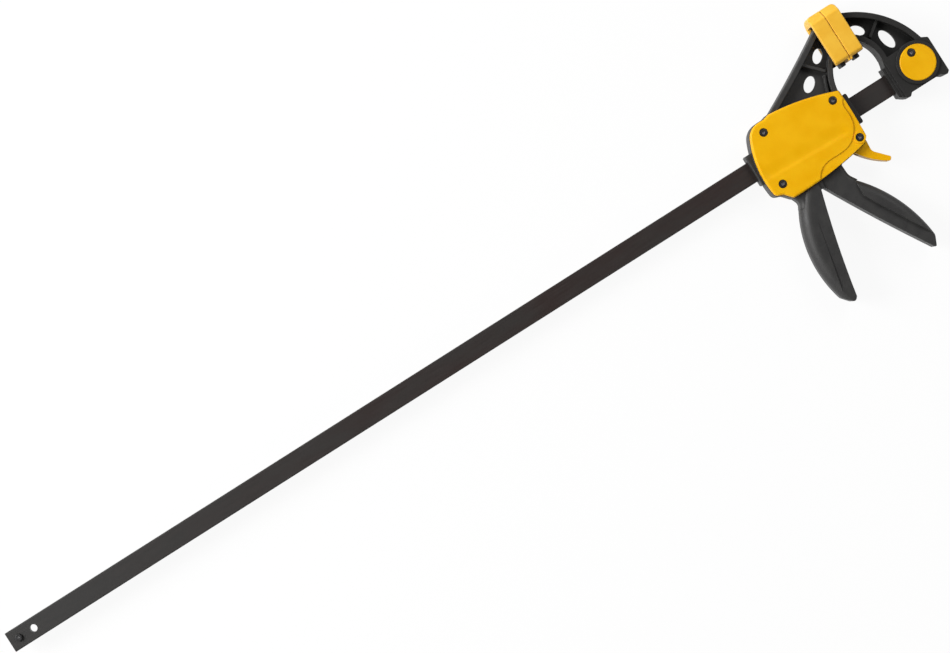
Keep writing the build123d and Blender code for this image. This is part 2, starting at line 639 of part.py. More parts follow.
with BuildSketch() as arm_recess:
    add(arm_face.sketch)
    offset(amount=-FLANGE, kind=Kind.INTERSECTION)
    add(housing_face.sketch, mode=Mode.SUBTRACT)

neck_waist = on_arc(HANDLE_BACK_CENTRE, -HANDLE_BACK_RADIUS, y=NECK_WAIST_Y)
neck_foot = on_arc(HANDLE_BACK_CENTRE, -HANDLE_BACK_RADIUS, y=NECK_FOOT_Y)
handle_heel = on_arc(HANDLE_BACK_CENTRE, -HANDLE_BACK_RADIUS, y=HANDLE_HEEL_Y)
with BuildSketch() as handle_face:
    with BuildLine():
        heel_arc = RadiusArc(neck_waist, handle_heel, -HANDLE_BACK_RADIUS)
        foot = Polyline(heel_arc @ 1, HANDLE_TIP, HANDLE_FRONT_FOOT)
        palm = SagittaArc(foot @ 1, HANDLE_APEX, HANDLE_FRONT_BOW)
        Polyline(palm @ 1, (HANDLE_APEX[0], NECK_TOP[1]), NECK_TOP, heel_arc @ 0)
    make_face()
    for corner, radius in ((handle_heel, HANDLE_HEEL_ROUND), (HANDLE_TIP, HANDLE_TIP_ROUND),
                           (neck_waist, NECK_BEND)):
        fillet(nearest(handle_face, corner), radius)


back_plane = Plane(origin=(*HANDLE_BACK_CENTRE, 0), x_dir=(-1, 0, 0), z_dir=(0, 1, 0))
back_axis = Axis((*HANDLE_BACK_CENTRE, 0), (0, 0, 1))


def back_ring(inset, ease):
    """A ring about the centre of the handle's back, smaller by an inset, its edges eased."""
    with BuildPart() as ring:
        with BuildSketch(back_plane) as section:
            with Locations((HANDLE_BACK_RADIUS - inset, 0)):
                Rectangle(HANDLE_DEPTH, 2 * (HANDLE_HALF - inset), align=(Align.MAX, Align.CENTER))
            ease(section.vertices().group_by(Axis.X)[-1], HANDLE_ROUND - 2 * inset)
        revolve(axis=back_axis, revolution_arc=360)
    return ring.part


# the flat strips in front of the crease sink towards the foot
crease_x = HANDLE_CREASE_FOOT[0] - HANDLE_CREASE_TOP[0]
crease_y = HANDLE_CREASE_FOOT[1] - HANDLE_CREASE_TOP[1]
crease_length = hypot(crease_x, crease_y)
crease_plane = Plane(
    origin=(*HANDLE_CREASE_TOP, 0), x_dir=(crease_x, crease_y, 0), z_dir=(-crease_y, crease_x, 0))
with BuildPart() as strip_cut:
    with BuildSketch(crease_plane):
        for side in (1, -1):
            Polygon(
                (0, side * HANDLE_HALF), (2 * crease_length, side * (HANDLE_HALF - 2 * HANDLE_CREASE)),
                (2 * crease_length, side * HANDLE_HALF), align=None)
    extrude(amount=HANDLE_DEPTH)

with BuildPart() as handle_shell:
    with BuildSketch():
        add(handle_face.sketch)
    extrude(amount=HANDLE_HALF, both=True)
    add(back_ring(0, fillet), mode=Mode.INTERSECT)
    add(strip_cut.part, mode=Mode.SUBTRACT)
    for side in (1, -1):
        with BuildSketch(Plane.XY.offset(side * FRAME_HALF)):
            add(housing_face.sketch)
        extrude(amount=side * HANDLE_HALF, mode=Mode.SUBTRACT)

with BuildPart() as handle_hollow:
    with BuildSketch():
        Polygon(*HOLLOW_POINTS, align=None)
    extrude(amount=HANDLE_HALF - HANDLE_WALL, both=True)
    add(back_ring(HANDLE_WALL, chamfer), mode=Mode.INTERSECT)

with BuildPart() as handle_neck:
    with BuildSketch() as neck_face:
        Polygon(NECK_TOP, neck_waist, neck_foot, *NECK_INNER, align=None)
        fillet(nearest(neck_face, neck_waist), NECK_BEND)
    extrude(amount=FRAME_HALF, both=True)
    fillet(handle_neck.edges().filter_by(Plane.XY).filter_by(
        lambda rim: rim.center().X < NECK_HOLLOW_X), NECK_ROUND)

with BuildPart() as body_frame:
    with BuildSketch():
        add(housing_face.sketch)
        add(arm_face.sketch)
    extrude(amount=FRAME_HALF, both=True)
    chamfer(body_frame.edges().filter_by(GeomType.CIRCLE).filter_by(
        lambda rim: rim.center().Y > collar_top and rim.length > 5 * FLANGE), ARM_EDGE)
    for side in (1, -1):
        with BuildSketch(Plane.XY.offset(side * WEB_HALF)):
            add(arm_recess.sketch)
        extrude(amount=side * FRAME_HALF, mode=Mode.SUBTRACT)
    with BuildSketch():
        with Locations(ARM_RIB):
            Rectangle(ARM_RIB_LENGTH, RIB_WIDTH, rotation=ARM_RIB_ANGLE)
    extrude(amount=RIB_HALF, both=True)
    with BuildSketch():
        with Locations(ARM_STEP):
            Rectangle(*ARM_STEP_SIZE, rotation=ARM_STEP_ANGLE)
    extrude(amount=ARM_STEP_HALF, both=True)
    with BuildSketch():
        with Locations(ARM_WINDOW_TOP):
            Ellipse(*WINDOW_SLIM, rotation=45)
        with Locations(ARM_WINDOW_LOW):
            Ellipse(*WINDOW_ROUND, rotation=40)
    extrude(amount=FRAME_HALF, both=True, mode=Mode.SUBTRACT)
    # jaw plate
    add(jaw_plate.part.mirror(Plane.YZ))
    # handle and its neck
    add(handle_shell.part)
    add(handle_neck.part)
    # mechanism room, open on both sides
    with BuildSketch():
        add(housing_face.sketch)
        offset(amount=-WALL, kind=Kind.INTERSECTION)
    extrude(amount=FRAME_HALF, both=True, mode=Mode.SUBTRACT)
    # seat of the drive spring, guide and collars round the bar
    with BuildSketch(Plane.YZ.offset(SPRING_SEAT_X)):
        Rectangle(2 * (drive_coil_radius + DRIVE_WIRE), 2 * FRAME_HALF)
    extrude(amount=-WALL)
    with BuildSketch(Plane.YZ.offset(COVER_TOP_FRONT[0])):
        Rectangle(window_y + 2 * WALL, 2 * FRAME_HALF)
    extrude(amount=-GUIDE_LENGTH)
    for collar_x, collar_length in ((COLLAR_REAR_X, REAR_COLLAR), (COLLAR_FRONT_X, -FRONT_COLLAR)):
        with BuildSketch(Plane.YZ.offset(collar_x)) as collar:
            Rectangle(BAR_WIDTH + 2 * COLLAR_MARGIN, 2 * COLLAR_HALF)
            fillet(collar.vertices(), COLLAR_ROUND)
        extrude(amount=collar_length)
        chamfer(body_frame.faces().filter_by(Plane.YZ).filter_by(
            lambda end: abs(end.center().X - collar_x) < RUN).edges(), COLLAR_EDGE)
    # screw posts, each tied to the wall
    with BuildSketch():
        with Locations(*posts):
            Circle(BOSS_RADIUS)
        with Locations(SCREW_REAR_TOP):
            Rectangle(WALL, COVER_CROWN[1] - SCREW_REAR_TOP[1], align=(Align.CENTER, Align.MIN))
        with Locations(SCREW_REAR_LOW):
            Rectangle(SCREW_REAR_LOW[0] - COVER_HEEL[0], WALL, align=(Align.MAX, Align.CENTER))
        # rib in front of the trigger, which also carries the brake spring
        with Locations((STOP_RIB_X, -window_y / 2 - WALL)):
            Rectangle(STOP_RIB, STOP_RIB_LENGTH, align=(Align.MIN, Align.MAX))
        # notch that holds the top of the brake plates
        with Locations((BRAKE_X, brake_pivot[1] - BRAKE_NOTCH[1] / 2)):
            Rectangle(*BRAKE_NOTCH, align=(Align.CENTER, Align.MIN))
        with Locations((BRAKE_X, brake_pivot[1] + BRAKE_TOP + SLIDE)):
            Rectangle(
                brake_pack + BRAKE_NOTCH_FIT, BRAKE_NOTCH[1], align=(Align.CENTER, Align.MAX),
                mode=Mode.SUBTRACT)
    extrude(amount=FRAME_HALF, both=True)
    # openings in the floor for the trigger and the release lever, and the hollow of the handle
    add(handle_hollow.part, mode=Mode.SUBTRACT)
    with BuildSketch():
        with Locations((TRIGGER_ROOT_FRONT[0] + SLIDE, COVER_NECK[1] + WALL)):
            Rectangle(TRIGGER_ROOT_FRONT[0] - NECK_HOLLOW_X, FLOOR_CUT, align=(Align.MAX, Align.CENTER))
        with Locations((HANDLE_APEX[0], COVER_NECK[1] + WALL)):
            Rectangle(HANDLE_APEX[0] - NECK_HOLLOW_X, NECK_CUT, align=(Align.MAX, Align.MAX))
    extrude(amount=TRIGGER_HALF + SLIDE, both=True, mode=Mode.SUBTRACT)
    with BuildSketch():
        with Locations((LEVER_SLOT_X, LEVER_SLOT_TOP)):
            Rectangle(LEVER_SLOT_FRONT - LEVER_SLOT_X, LEVER_SLOT_DEPTH, align=(Align.MIN, Align.MAX))
        with Locations(SCREW_LEVER):
            Circle(LEVER_HUB + 2 * SLIDE)
    extrude(amount=LEVER_HALF + SLIDE, both=True, mode=Mode.SUBTRACT)
    with BuildSketch():
        with Locations(SCREW_LEVER):
            Circle(BOSS_RADIUS + SLIDE)
    extrude(amount=FRAME_HALF, both=True, mode=Mode.SUBTRACT)
    # way through for the bar, and screw holes
    with BuildSketch(Plane.YZ.offset(COLLAR_REAR_X)):
        Rectangle(window_y, window_z)
    extrude(amount=COLLAR_FRONT_X - COLLAR_REAR_X, mode=Mode.SUBTRACT)
    with Locations(*posts):
        Hole(SCREW_RADIUS + SEAT)

# ================================================================ trigger, drive plates and spring
trigger_reach = TRIGGER_SWEEP + hypot(
    trigger_pivot[0] - drive_back + drive_stroke, drive_half_y + trigger_pivot[1])
bar_reach = (trigger_pivot[1] + bar_edge_y + 2 * SLIDE) / cos(radians(TRIGGER_TRAVEL + TRIGGER_TOP_ANGLE))


def below_pivot(x):
    """The point at x of the trigger's shoulder, which swings round its pivot."""
    return (x, trigger_pivot[1] - sqrt(trigger_reach ** 2 - (x - trigger_pivot[0]) ** 2))


with BuildSketch() as trigger_face:
    with BuildLine():
        grip = RadiusArc(
            on_arc(TRIGGER_FRONT_CENTRE, TRIGGER_FRONT_RADIUS, y=TRIGGER_GRIP_START_Y),
            on_arc(TRIGGER_FRONT_CENTRE, TRIGGER_FRONT_RADIUS, y=TRIGGER_TOE_Y), TRIGGER_FRONT_RADIUS)
        toe = Line(grip @ 1, TRIGGER_TIP)
        heel = SagittaArc(toe @ 1, TRIGGER_APEX, TRIGGER_BACK_BOW)
        Polyline(
            heel @ 1, below_pivot(TRIGGER_SHOULDER_X[0]), below_pivot(TRIGGER_SHOULDER_X[1]),
            TRIGGER_ARM_REAR, (nose_centre[0] + NOSE_CHIN[0], nose_centre[1] + NOSE_CHIN[1]), nose_centre,
            (trigger_pivot[0] - TRIGGER_EYE, trigger_pivot[1]),
            (trigger_pivot[0] + TRIGGER_EYE, trigger_pivot[1]), TRIGGER_ARM_FRONT, TRIGGER_ROOT_FRONT,
            TRIGGER_KNEE, grip @ 0)
    make_face()
    fillet(nearest(trigger_face, TRIGGER_KNEE), TRIGGER_KNEE_ROUND)
    fillet(nearest(trigger_face, toe @ 0), TRIGGER_TOE_ROUND)
    fillet(nearest(trigger_face, TRIGGER_TIP), TRIGGER_TIP_ROUND)
    with Locations(trigger_pivot):
        Circle(TRIGGER_EYE)
    with Locations(nose_centre):
        Circle(NOSE_RADIUS)

front_plane = Plane(origin=(*TRIGGER_FRONT_CENTRE, 0), x_dir=(1, 0, 0), z_dir=(0, -1, 0))
with BuildPart() as grip_solid:
    with BuildSketch(front_plane) as grip_section:
        with Locations((TRIGGER_FRONT_RADIUS, 0)):
            Rectangle(TRIGGER_GRIP_DEPTH, 2 * TRIGGER_GRIP_HALF, align=(Align.MAX, Align.CENTER))
        fillet(grip_section.vertices().group_by(Axis.X)[-1], TRIGGER_GRIP_ROUND)
    revolve(axis=Axis((*TRIGGER_FRONT_CENTRE, 0), (0, 0, 1)), revolution_arc=360)

with BuildPart() as trigger_grip:
    with BuildSketch():
        add(trigger_face.sketch)
    extrude(amount=TRIGGER_GRIP_HALF, both=True)
    add(grip_solid.part, mode=Mode.INTERSECT)
    # only the part in front of the crease is this wide
    for side in (1, -1):
        with BuildSketch(Plane.XY.offset(side * TRIGGER_HALF)):
            Polygon(
                (0, -HANDLE_TIP[1]), (0, TRIGGER_CREASE[0][1] + OVERLAP), *TRIGGER_CREASE,
                (TRIGGER_CREASE[-1][0], 2 * HANDLE_TIP[1]), (2 * HANDLE_TIP[1], 2 * HANDLE_TIP[1]),
                (2 * HANDLE_TIP[1], -HANDLE_TIP[1]), align=None)
        extrude(amount=side * TRIGGER_GRIP_HALF, mode=Mode.SUBTRACT)

with BuildPart() as trigger:
    # solid root between the housing's floor and the grip, with a rounded front
    with BuildSketch():
        add(trigger_face.sketch)
        with Locations((TRIGGER_APEX[0], TRIGGER_CREASE[0][1])):
            Rectangle(4 * HANDLE_DEPTH, 4 * HANDLE_DEPTH, align=(Align.CENTER, Align.MAX), mode=Mode.SUBTRACT)
        with Locations((TRIGGER_APEX[0], TRIGGER_ROOT_FRONT[1])):
            Rectangle(4 * HANDLE_DEPTH, 4 * HANDLE_DEPTH, align=(Align.CENTER, Align.MIN), mode=Mode.SUBTRACT)
    extrude(amount=TRIGGER_HALF, both=True)
    root_front = trigger.edges().filter_by(Plane.XY).filter_by(
        lambda rim: rim.center().X > TRIGGER_ARM_FRONT[0]
        and TRIGGER_CREASE[0][1] + RUN < rim.center().Y < TRIGGER_ROOT_FRONT[1] - RUN)
    fillet(root_front, TRIGGER_ROOT_ROUND)
    # fork arms inside the housing
    with BuildSketch():
        add(trigger_face.sketch)
        with Locations((TRIGGER_APEX[0], TRIGGER_ROOT_FRONT[1])):
            Rectangle(4 * HANDLE_DEPTH, 4 * HANDLE_DEPTH, align=(Align.CENTER, Align.MAX), mode=Mode.SUBTRACT)
    extrude(amount=TRIGGER_HALF, both=True)
    add(trigger_grip.part)
    with BuildSketch():
        with Locations(trigger_pivot):
            Circle(bar_reach)
    extrude(amount=BAR_THICK / 2 + TRIGGER_SLOT_SIDE, both=True, mode=Mode.SUBTRACT)
    with Locations(trigger_pivot):
        Hole(TRIGGER_PIN_RADIUS + RUN)

with BuildPart() as trigger_pin:
    with BuildSketch(Plane.XY.offset(-cover_inside + 2 * RUN)):
        with Locations(trigger_pivot):
            Circle(TRIGGER_PIN_RADIUS)
    extrude(amount=2 * (cover_inside - 2 * RUN))
    chamfer(trigger_pin.edges().filter_by(GeomType.CIRCLE), TRIGGER_PIN_EDGE)

with BuildPart() as drive_plates:
    for front_x in (drive_front, drive_front - DRIVE_PLATE - PLATE_GAP):
        with BuildSketch(Plane.YZ.offset(front_x)) as plate_section:
            Rectangle(2 * drive_half_y, 2 * DRIVE_PLATE_HALF)
            fillet(plate_section.vertices(), DRIVE_CORNER)
            Rectangle(window_y, window_z, mode=Mode.SUBTRACT)
        extrude(amount=-DRIVE_PLATE)

with BuildPart() as drive_spring:
    spring_start = drive_back - DRIVE_WIRE / 2 - RUN
    spring_length = spring_start - SPRING_SEAT_X - DRIVE_WIRE / 2 - RUN
    with BuildLine():
        coil = Helix(spring_length / DRIVE_COILS, spring_length, drive_coil_radius,
                     center=(spring_start, 0, 0), direction=(-1, 0, 0))
    with BuildSketch(Plane(origin=coil @ 0, z_dir=coil % 0)):
        RegularPolygon(DRIVE_WIRE / 2, WIRE_SIDES)
    sweep()

# ================================================================ brake plates, spring and release lever
tilt = radians(BRAKE_TILT)
with BuildPart() as brake_plates:
    for number in range(BRAKE_PLATES):
        back_x = BRAKE_X - brake_pack / 2 + number * (BRAKE_PLATE + PLATE_GAP)
        plate_plane = Plane(
            origin=(*brake_pivot, 0), x_dir=(-sin(tilt), cos(tilt), 0), z_dir=(cos(tilt), sin(tilt), 0))
        with BuildSketch(plate_plane.offset(back_x - BRAKE_X)) as plate_section:
            with Locations((BRAKE_TOP, 0)):
                Rectangle(
                    brake_pivot[1] + BRAKE_TOP - BRAKE_SHOULDER_Y, 2 * BRAKE_HALF,
                    align=(Align.MAX, Align.CENTER))
                Rectangle(
                    brake_pivot[1] + BRAKE_TOP - BRAKE_FOOT_Y, 2 * BRAKE_TONGUE_HALF,
                    align=(Align.MAX, Align.CENTER))
            with Locations((-brake_pivot[1] / cos(tilt), 0)):
                Rectangle(window_y + brake_pack * brake_lean + 2 * RUN, window_z, mode=Mode.SUBTRACT)
        extrude(amount=BRAKE_PLATE)

with BuildPart() as brake_spring:
    brake_rest_x = BRAKE_X - brake_pack / 2 + (brake_pivot[1] - brake_spring_y) * brake_lean
    brake_start = stop_rib_front + BRAKE_WIRE / 2 + RUN
    brake_length = brake_rest_x - BRAKE_WIRE / 2 - 4 * RUN - brake_start
    with BuildLine():
        brake_coil = Helix(brake_length / BRAKE_COILS, brake_length, BRAKE_COIL_RADIUS,
                           center=(brake_start, brake_spring_y, 0), direction=(1, 0, 0))
    with BuildSketch(Plane(origin=brake_coil @ 0, z_dir=brake_coil % 0)):
        RegularPolygon(BRAKE_WIRE / 2, WIRE_SIDES)
    sweep()

with BuildSketch() as lever_face:
    with BuildLine():
        belly = SagittaArc(LEVER_ROOT, LEVER_TIP_LOW, -LEVER_BOW)
        Polyline(
            belly @ 1, LEVER_TIP_HIGH, LEVER_BEND, LEVER_SHOULDER,
            (SCREW_LEVER[0] + LEVER_HUB, SCREW_LEVER[1]), (SCREW_LEVER[0] - LEVER_HUB, SCREW_LEVER[1]),
            LEVER_HEEL, belly @ 0)
    make_face()
    fillet(nearest(lever_face, LEVER_BEND), LEVER_BEND_ROUND)
    for corner in (LEVER_TIP_LOW, LEVER_TIP_HIGH):
        fillet(nearest(lever_face, corner), LEVER_TIP_ROUND)
    with Locations(SCREW_LEVER):
        Circle(LEVER_HUB)

with BuildPart() as release_lever:
    with BuildSketch():
        add(lever_face.sketch)
    extrude(amount=LEVER_HALF, both=True)
    with BuildSketch():
        with Locations((LEVER_NOSE[0] - LEVER_NOSE_RADIUS + LEVER_NOSE_PROUD, LEVER_POCKET_FOOT)):
            Rectangle(LEVER_POCKET, LEVER_POCKET, align=(Align.MAX, Align.MIN))
    extrude(amount=BRAKE_TONGUE_HALF + SLIDE, both=True, mode=Mode.SUBTRACT)
    with BuildSketch():
        with Locations(LEVER_NOSE):
            Circle(LEVER_NOSE_RADIUS)
    extrude(amount=BRAKE_TONGUE_HALF + 2 * SLIDE, both=True)
    with Locations(SCREW_LEVER):
        Hole(SLEEVE_RADIUS + RUN)

with BuildPart() as lever_sleeve:
    with BuildSketch(Plane.XY.offset(-LEVER_HALF - SLIDE + RUN)):
        with Locations(SCREW_LEVER):
            Circle(SLEEVE_RADIUS)
            Circle(SLEEVE_BORE, mode=Mode.SUBTRACT)
    extrude(amount=2 * (LEVER_HALF + SLIDE - RUN))

# ================================================================ labels, common origin and files
pieces = {
    "bar": bar, "stop_pin": stop_pin, "fixed_jaw": fixed_jaw, "fixed_pad": fixed_pad,
    "jaw_cap_front": jaw_cap_front, "jaw_cap_rear": jaw_cap_rear, "jaw_cap_screw": jaw_cap_screw,
    "jaw_lock_pin": jaw_lock_pin, "body_frame": body_frame, "moving_pad": moving_pad,
    "front_cover": front_cover, "rear_cover": rear_cover, "cover_screws": cover_screws,
    "trigger_pin": trigger_pin, "lever_sleeve": lever_sleeve, "trigger": trigger,
    "drive_plates": drive_plates, "drive_spring": drive_spring, "brake_plates": brake_plates,
    "brake_spring": brake_spring, "release_lever": release_lever,
}
boxes = [piece.part.bounding_box() for piece in pieces.values()]
middle_x = (min(box.min.X for box in boxes) + max(box.max.X for box in boxes)) / 2
middle_y = (min(box.min.Y for box in boxes) + max(box.max.Y for box in boxes)) / 2
lowest_z = min(box.min.Z for box in boxes)
to_origin = Location((-middle_x, -middle_y, -lowest_z))

for name, piece in pieces.items():
    placed = piece.part.moved(to_origin)
    placed.label = name
    export_step(placed, f"parts/{name}.step")

print(f"moved by {-middle_x:.3f}, {-middle_y:.3f}, {-lowest_z:.3f}")
print(f"drive stroke {drive_stroke:.3f} mm for {TRIGGER_TRAVEL} degrees")
print(f"trigger pivot {trigger_pivot}, brake pivot {brake_pivot}, tail {bar_tail}")
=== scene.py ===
# %% [markdown]
# # A quick release bar clamp, from its frame to its finish
# The clamp lies on its side on a pale floor with its jaws closed. Its solids come ready made from the packed
# frame, each in its place. This lesson gives them their finishes, and rebuilds by hand the pieces that show
# more than a plain solid can: the two creased covers, the soft boots of the jaws, the release lever, the
# springs, the socket screws and the webs at the root of the handle.

import json
import math

import bmesh
import bpy
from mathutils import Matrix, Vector


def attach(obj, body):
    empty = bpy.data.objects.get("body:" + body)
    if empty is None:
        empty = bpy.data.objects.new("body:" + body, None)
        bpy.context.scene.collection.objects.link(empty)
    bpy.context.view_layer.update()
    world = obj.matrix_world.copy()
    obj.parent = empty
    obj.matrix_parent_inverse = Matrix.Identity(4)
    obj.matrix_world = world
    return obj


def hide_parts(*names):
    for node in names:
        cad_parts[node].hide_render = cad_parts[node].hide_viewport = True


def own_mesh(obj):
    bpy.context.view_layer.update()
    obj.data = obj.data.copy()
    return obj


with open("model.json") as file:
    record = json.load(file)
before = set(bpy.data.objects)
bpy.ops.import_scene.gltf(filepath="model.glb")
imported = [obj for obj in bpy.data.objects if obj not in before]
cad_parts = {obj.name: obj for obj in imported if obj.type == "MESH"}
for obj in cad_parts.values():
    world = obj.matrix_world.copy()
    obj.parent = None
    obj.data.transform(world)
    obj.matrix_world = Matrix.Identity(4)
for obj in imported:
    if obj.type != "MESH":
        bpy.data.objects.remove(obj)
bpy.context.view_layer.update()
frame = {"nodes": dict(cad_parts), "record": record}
nodes = frame["nodes"]
MM = 0.001                          # a millimetre, in metres
print("pieces in the frame:", ", ".join(sorted(nodes)))

# %% [markdown]
# ## Places on the clamp
# The clamp was drawn with its origin where the jaws meet in the middle of the bar. The frame moved that point,
# so one function turns a place on the drawing, in millimetres, into a place in the scene, in metres.

# %% Places
DRAWING_ORIGIN = Vector((416.300, 27.713, 19.000))


def on_clamp(x, y, z=0.0):
    """A place on the drawing, in millimetres, as a place in the scene."""
    return (DRAWING_ORIGIN + Vector((x, y, z))) * MM


# %% [markdown]
# ## The view
# The camera hangs high above the clamp and looks straight down, turned so that the bar climbs from the lower
# left to the upper right. From that height a long lens keeps the perspective flat, as product views have it.

# %% Camera
BAR_SLANT = math.radians(32.39)     # the bar's climb across the picture
CAMERA_ABOVE = on_clamp(-404.65, 16.13, 2249.3)
LENS_MM = 96.35
SENSOR_MM = 36.0
FARTHEST_SEEN_M = 20.0

lens = bpy.data.cameras.new("overhead")
lens.lens = LENS_MM
lens.sensor_width = SENSOR_MM
lens.sensor_fit = "HORIZONTAL"
lens.clip_end = FARTHEST_SEEN_M
camera = bpy.data.objects.new("overhead", lens)
camera.location = CAMERA_ABOVE
camera.rotation_euler = (0.0, 0.0, -BAR_SLANT)
bpy.context.scene.collection.objects.link(camera)
bpy.context.scene.camera = camera
bpy.context.scene.view_settings.view_transform = "Standard"
print("camera height above the floor, m:", round(CAMERA_ABOVE.z, 3))

# %% [markdown]
# ## Colours and nodes
# Colours are written as sRGB hex values, as a paint chart gives them, and one function turns them to the linear
# values that the shader works with. A second small function adds a node with its settings and its links, so a
# material reads as a list of steps.

# %% Helpers for materials
PLAIN_IOR = 1.5                     # the shader's own value, which metals keep


def srgb(code):
    """A colour from its sRGB hex value, as linear red, green, blue and alpha."""
    parts = [int(code[i:i + 2], 16) / 255 for i in (1, 3, 5)]
    return [c / 12.92 if c <= 0.04045 else ((c + 0.055) / 1.055) ** 2.4 for c in parts] + [1.0]


def step(tree, kind, settings, inputs):
    """Adds a node; inputs holds numbers or colours to set and sockets to link."""
    added = tree.nodes.new(kind)
    for name, value in settings.items():
        setattr(added, name, value)
    for name, value in inputs.items():
        if isinstance(value, bpy.types.NodeSocket):
            tree.links.new(value, added.inputs[name])
        else:
            added.inputs[name].default_value = value
    return added


def finish_named(name, ior=PLAIN_IOR, metallic=0.0):
    """A new material with a bare shader, its node tree and the clamp's own coordinates."""
    made = bpy.data.materials.new(name)
    made.use_nodes = True
    shader = made.node_tree.nodes["Principled BSDF"]
    shader.inputs["IOR"].default_value = ior
    shader.inputs["Metallic"].default_value = metallic
    place = step(made.node_tree, "ShaderNodeTexCoord", {}, {}).outputs["Object"]
    return made, made.node_tree, shader, place


def dress(tree, shader, colour, roughness, normal):
    """Links what a finish has made of its colour, roughness and normal to the shader."""
    for name, value in (("Base Color", colour), ("Roughness", roughness), ("Normal", normal)):
        tree.links.new(value, shader.inputs[name])


# %% [markdown]
# ## Patterns that the finishes share
# Nearly every surface is a little uneven, and noise at a real size in millimetres draws that. Lighter colour sits
# on edges, as wear and partly as a painted highlight, and corners get a painted shade. Both could be painted by
# hand, but
# the shader can find them: a Bevel node turns the normal near an edge, and Ambient Occlusion tells how closed in
# a place is.

# %% Grain, blends, edges, corners and relief
SHADER_SAMPLES = 8                  # rays by which a shader looks around a place
EDGE_TURN = 0.06                    # how far the normal leans on a full edge, as 1 minus the cosine


def grain(tree, place, size_mm, detail=2.0, stretch=(1.0, 1.0, 1.0)):
    """Noise whose blotches are about size_mm wide, drawn out along an axis by a stretch above 1."""
    scaled = step(tree, "ShaderNodeMapping", {}, {
        "Vector": place, "Scale": [1000 / size_mm / s for s in stretch]})
    return step(tree, "ShaderNodeTexNoise", {}, {
        "Vector": scaled.outputs["Vector"], "Scale": 1.0, "Detail": detail}).outputs["Fac"]


def spread(tree, value, low, high, start=0.35, end=0.65):
    """Turns noise, which stays near a half, into a number between low and high."""
    return step(tree, "ShaderNodeMapRange", {}, {
        "Value": value, "From Min": start, "From Max": end, "To Min": low, "To Max": high}).outputs["Result"]


def blend_colours(tree, amount, first, second):
    """A colour between two, each given as a hex value or a socket."""
    first = srgb(first) if isinstance(first, str) else first
    second = srgb(second) if isinstance(second, str) else second
    mixed = step(tree, "ShaderNodeMix", {"data_type": "RGBA"}, {0: amount, 6: first, 7: second})
    return mixed.outputs[2]


def edges(tree, width_mm):
    """Is 1 within about width_mm of an edge and 0 on open faces, from normals that a Bevel node rounds."""
    rounded = step(tree, "ShaderNodeBevel", {"samples": SHADER_SAMPLES}, {"Radius": width_mm * MM})
    true = step(tree, "ShaderNodeNewGeometry", {}, {})
    alike = step(tree, "ShaderNodeVectorMath", {"operation": "DOT_PRODUCT"}, {
        0: rounded.outputs["Normal"], 1: true.outputs["Normal"]})
    return spread(tree, alike.outputs["Value"], 1.0, 0.0, 1.0 - EDGE_TURN * 4, 1.0 - EDGE_TURN)


def edge_tint_patches(tree, place, width_mm, patch_mm, least, most, stretch=(1.0, 1.0, 1.0)):
    """How much of a lighter edge colour shows: on edges only, in patches about patch_mm wide."""
    patches = spread(tree, grain(tree, place, patch_mm, 3.0, stretch), least, most)
    return step(tree, "ShaderNodeMath", {"operation": "MULTIPLY"}, {
        0: edges(tree, width_mm), 1: patches}).outputs[0]


def corner_shade(tree, reach_mm, most, start, end):
    """How much painted shade shows: most where the surface is closed in within reach_mm, 0 in the open."""
    openness = step(tree, "ShaderNodeAmbientOcclusion", {"samples": SHADER_SAMPLES}, {
        "Distance": reach_mm * MM}).outputs["AO"]
    return spread(tree, openness, most, 0.0, start, end)


def relief(tree, height, depth_mm, edge_mm):
    """A bump of depth_mm, on edges that catch the light as if rounded by edge_mm."""
    rounded = step(tree, "ShaderNodeBevel", {"samples": SHADER_SAMPLES}, {"Radius": edge_mm * MM})
    return step(tree, "ShaderNodeBump", {}, {
        "Strength": 1.0, "Distance": depth_mm * MM, "Height": height,
        "Normal": rounded.outputs["Normal"]}).outputs["Normal"]


# %% [markdown]
# ## The bar
# The bar is cold rolled flat steel with a black oxide coating. Rolling leaves fine lines along its length, and
# the coating is thinner and browner in cloudy patches, most of all towards the jaws, where the carriage rubs.
# Its edges are a little worn, which shows as a browner skin rather than as bright metal.

# %% Black oxide on rolled steel
ROLLING_LINE_MM = 0.45              # real lines are finer, too fine to show
ROLLING_STRETCH = 60.0
OXIDE_CLOUD_MM = 22.0
OXIDE_CLOUD_STRETCH = 2.5
BAR_WEAR_MM = 6.0
BAR_WEAR_STRETCH = 4.0
BROWNING = (-0.42, -0.05)           # metres along the bar: where it starts to turn brown, and where it has


def black_oxide_bar():
    made, tree, shader, place = finish_named("black_oxide_rolled_steel", ior=1.6)
    lines = grain(tree, place, ROLLING_LINE_MM, 2.0, (ROLLING_STRETCH, 1.0, 1.0))
    clouds = grain(tree, place, OXIDE_CLOUD_MM, 4.0, (OXIDE_CLOUD_STRETCH, 1.0, 1.0))
    brown = blend_colours(tree, spread(tree, clouds, 0.0, 0.8), "#21110D", "#22201E")
    along = step(tree, "ShaderNodeSeparateXYZ", {}, {"Vector": place}).outputs["X"]
    skin = blend_colours(tree, spread(tree, along, 0.0, 1.0, *BROWNING), "#222221", brown)
    streaked = blend_colours(tree, spread(tree, lines, 0.0, 0.35), skin, "#2A211E")
    edge_tint = edge_tint_patches(tree, place, 0.5, BAR_WEAR_MM, 0.0, 0.4, (BAR_WEAR_STRETCH, 1.0, 1.0))
    shader.inputs["Specular IOR Level"].default_value = 0.4
    dress(
        tree, shader, colour=blend_colours(tree, edge_tint, streaked, "#4A3320"),
        roughness=spread(tree, lines, 0.44, 0.56), normal=relief(tree, lines, depth_mm=0.006, edge_mm=0.3))
    return made
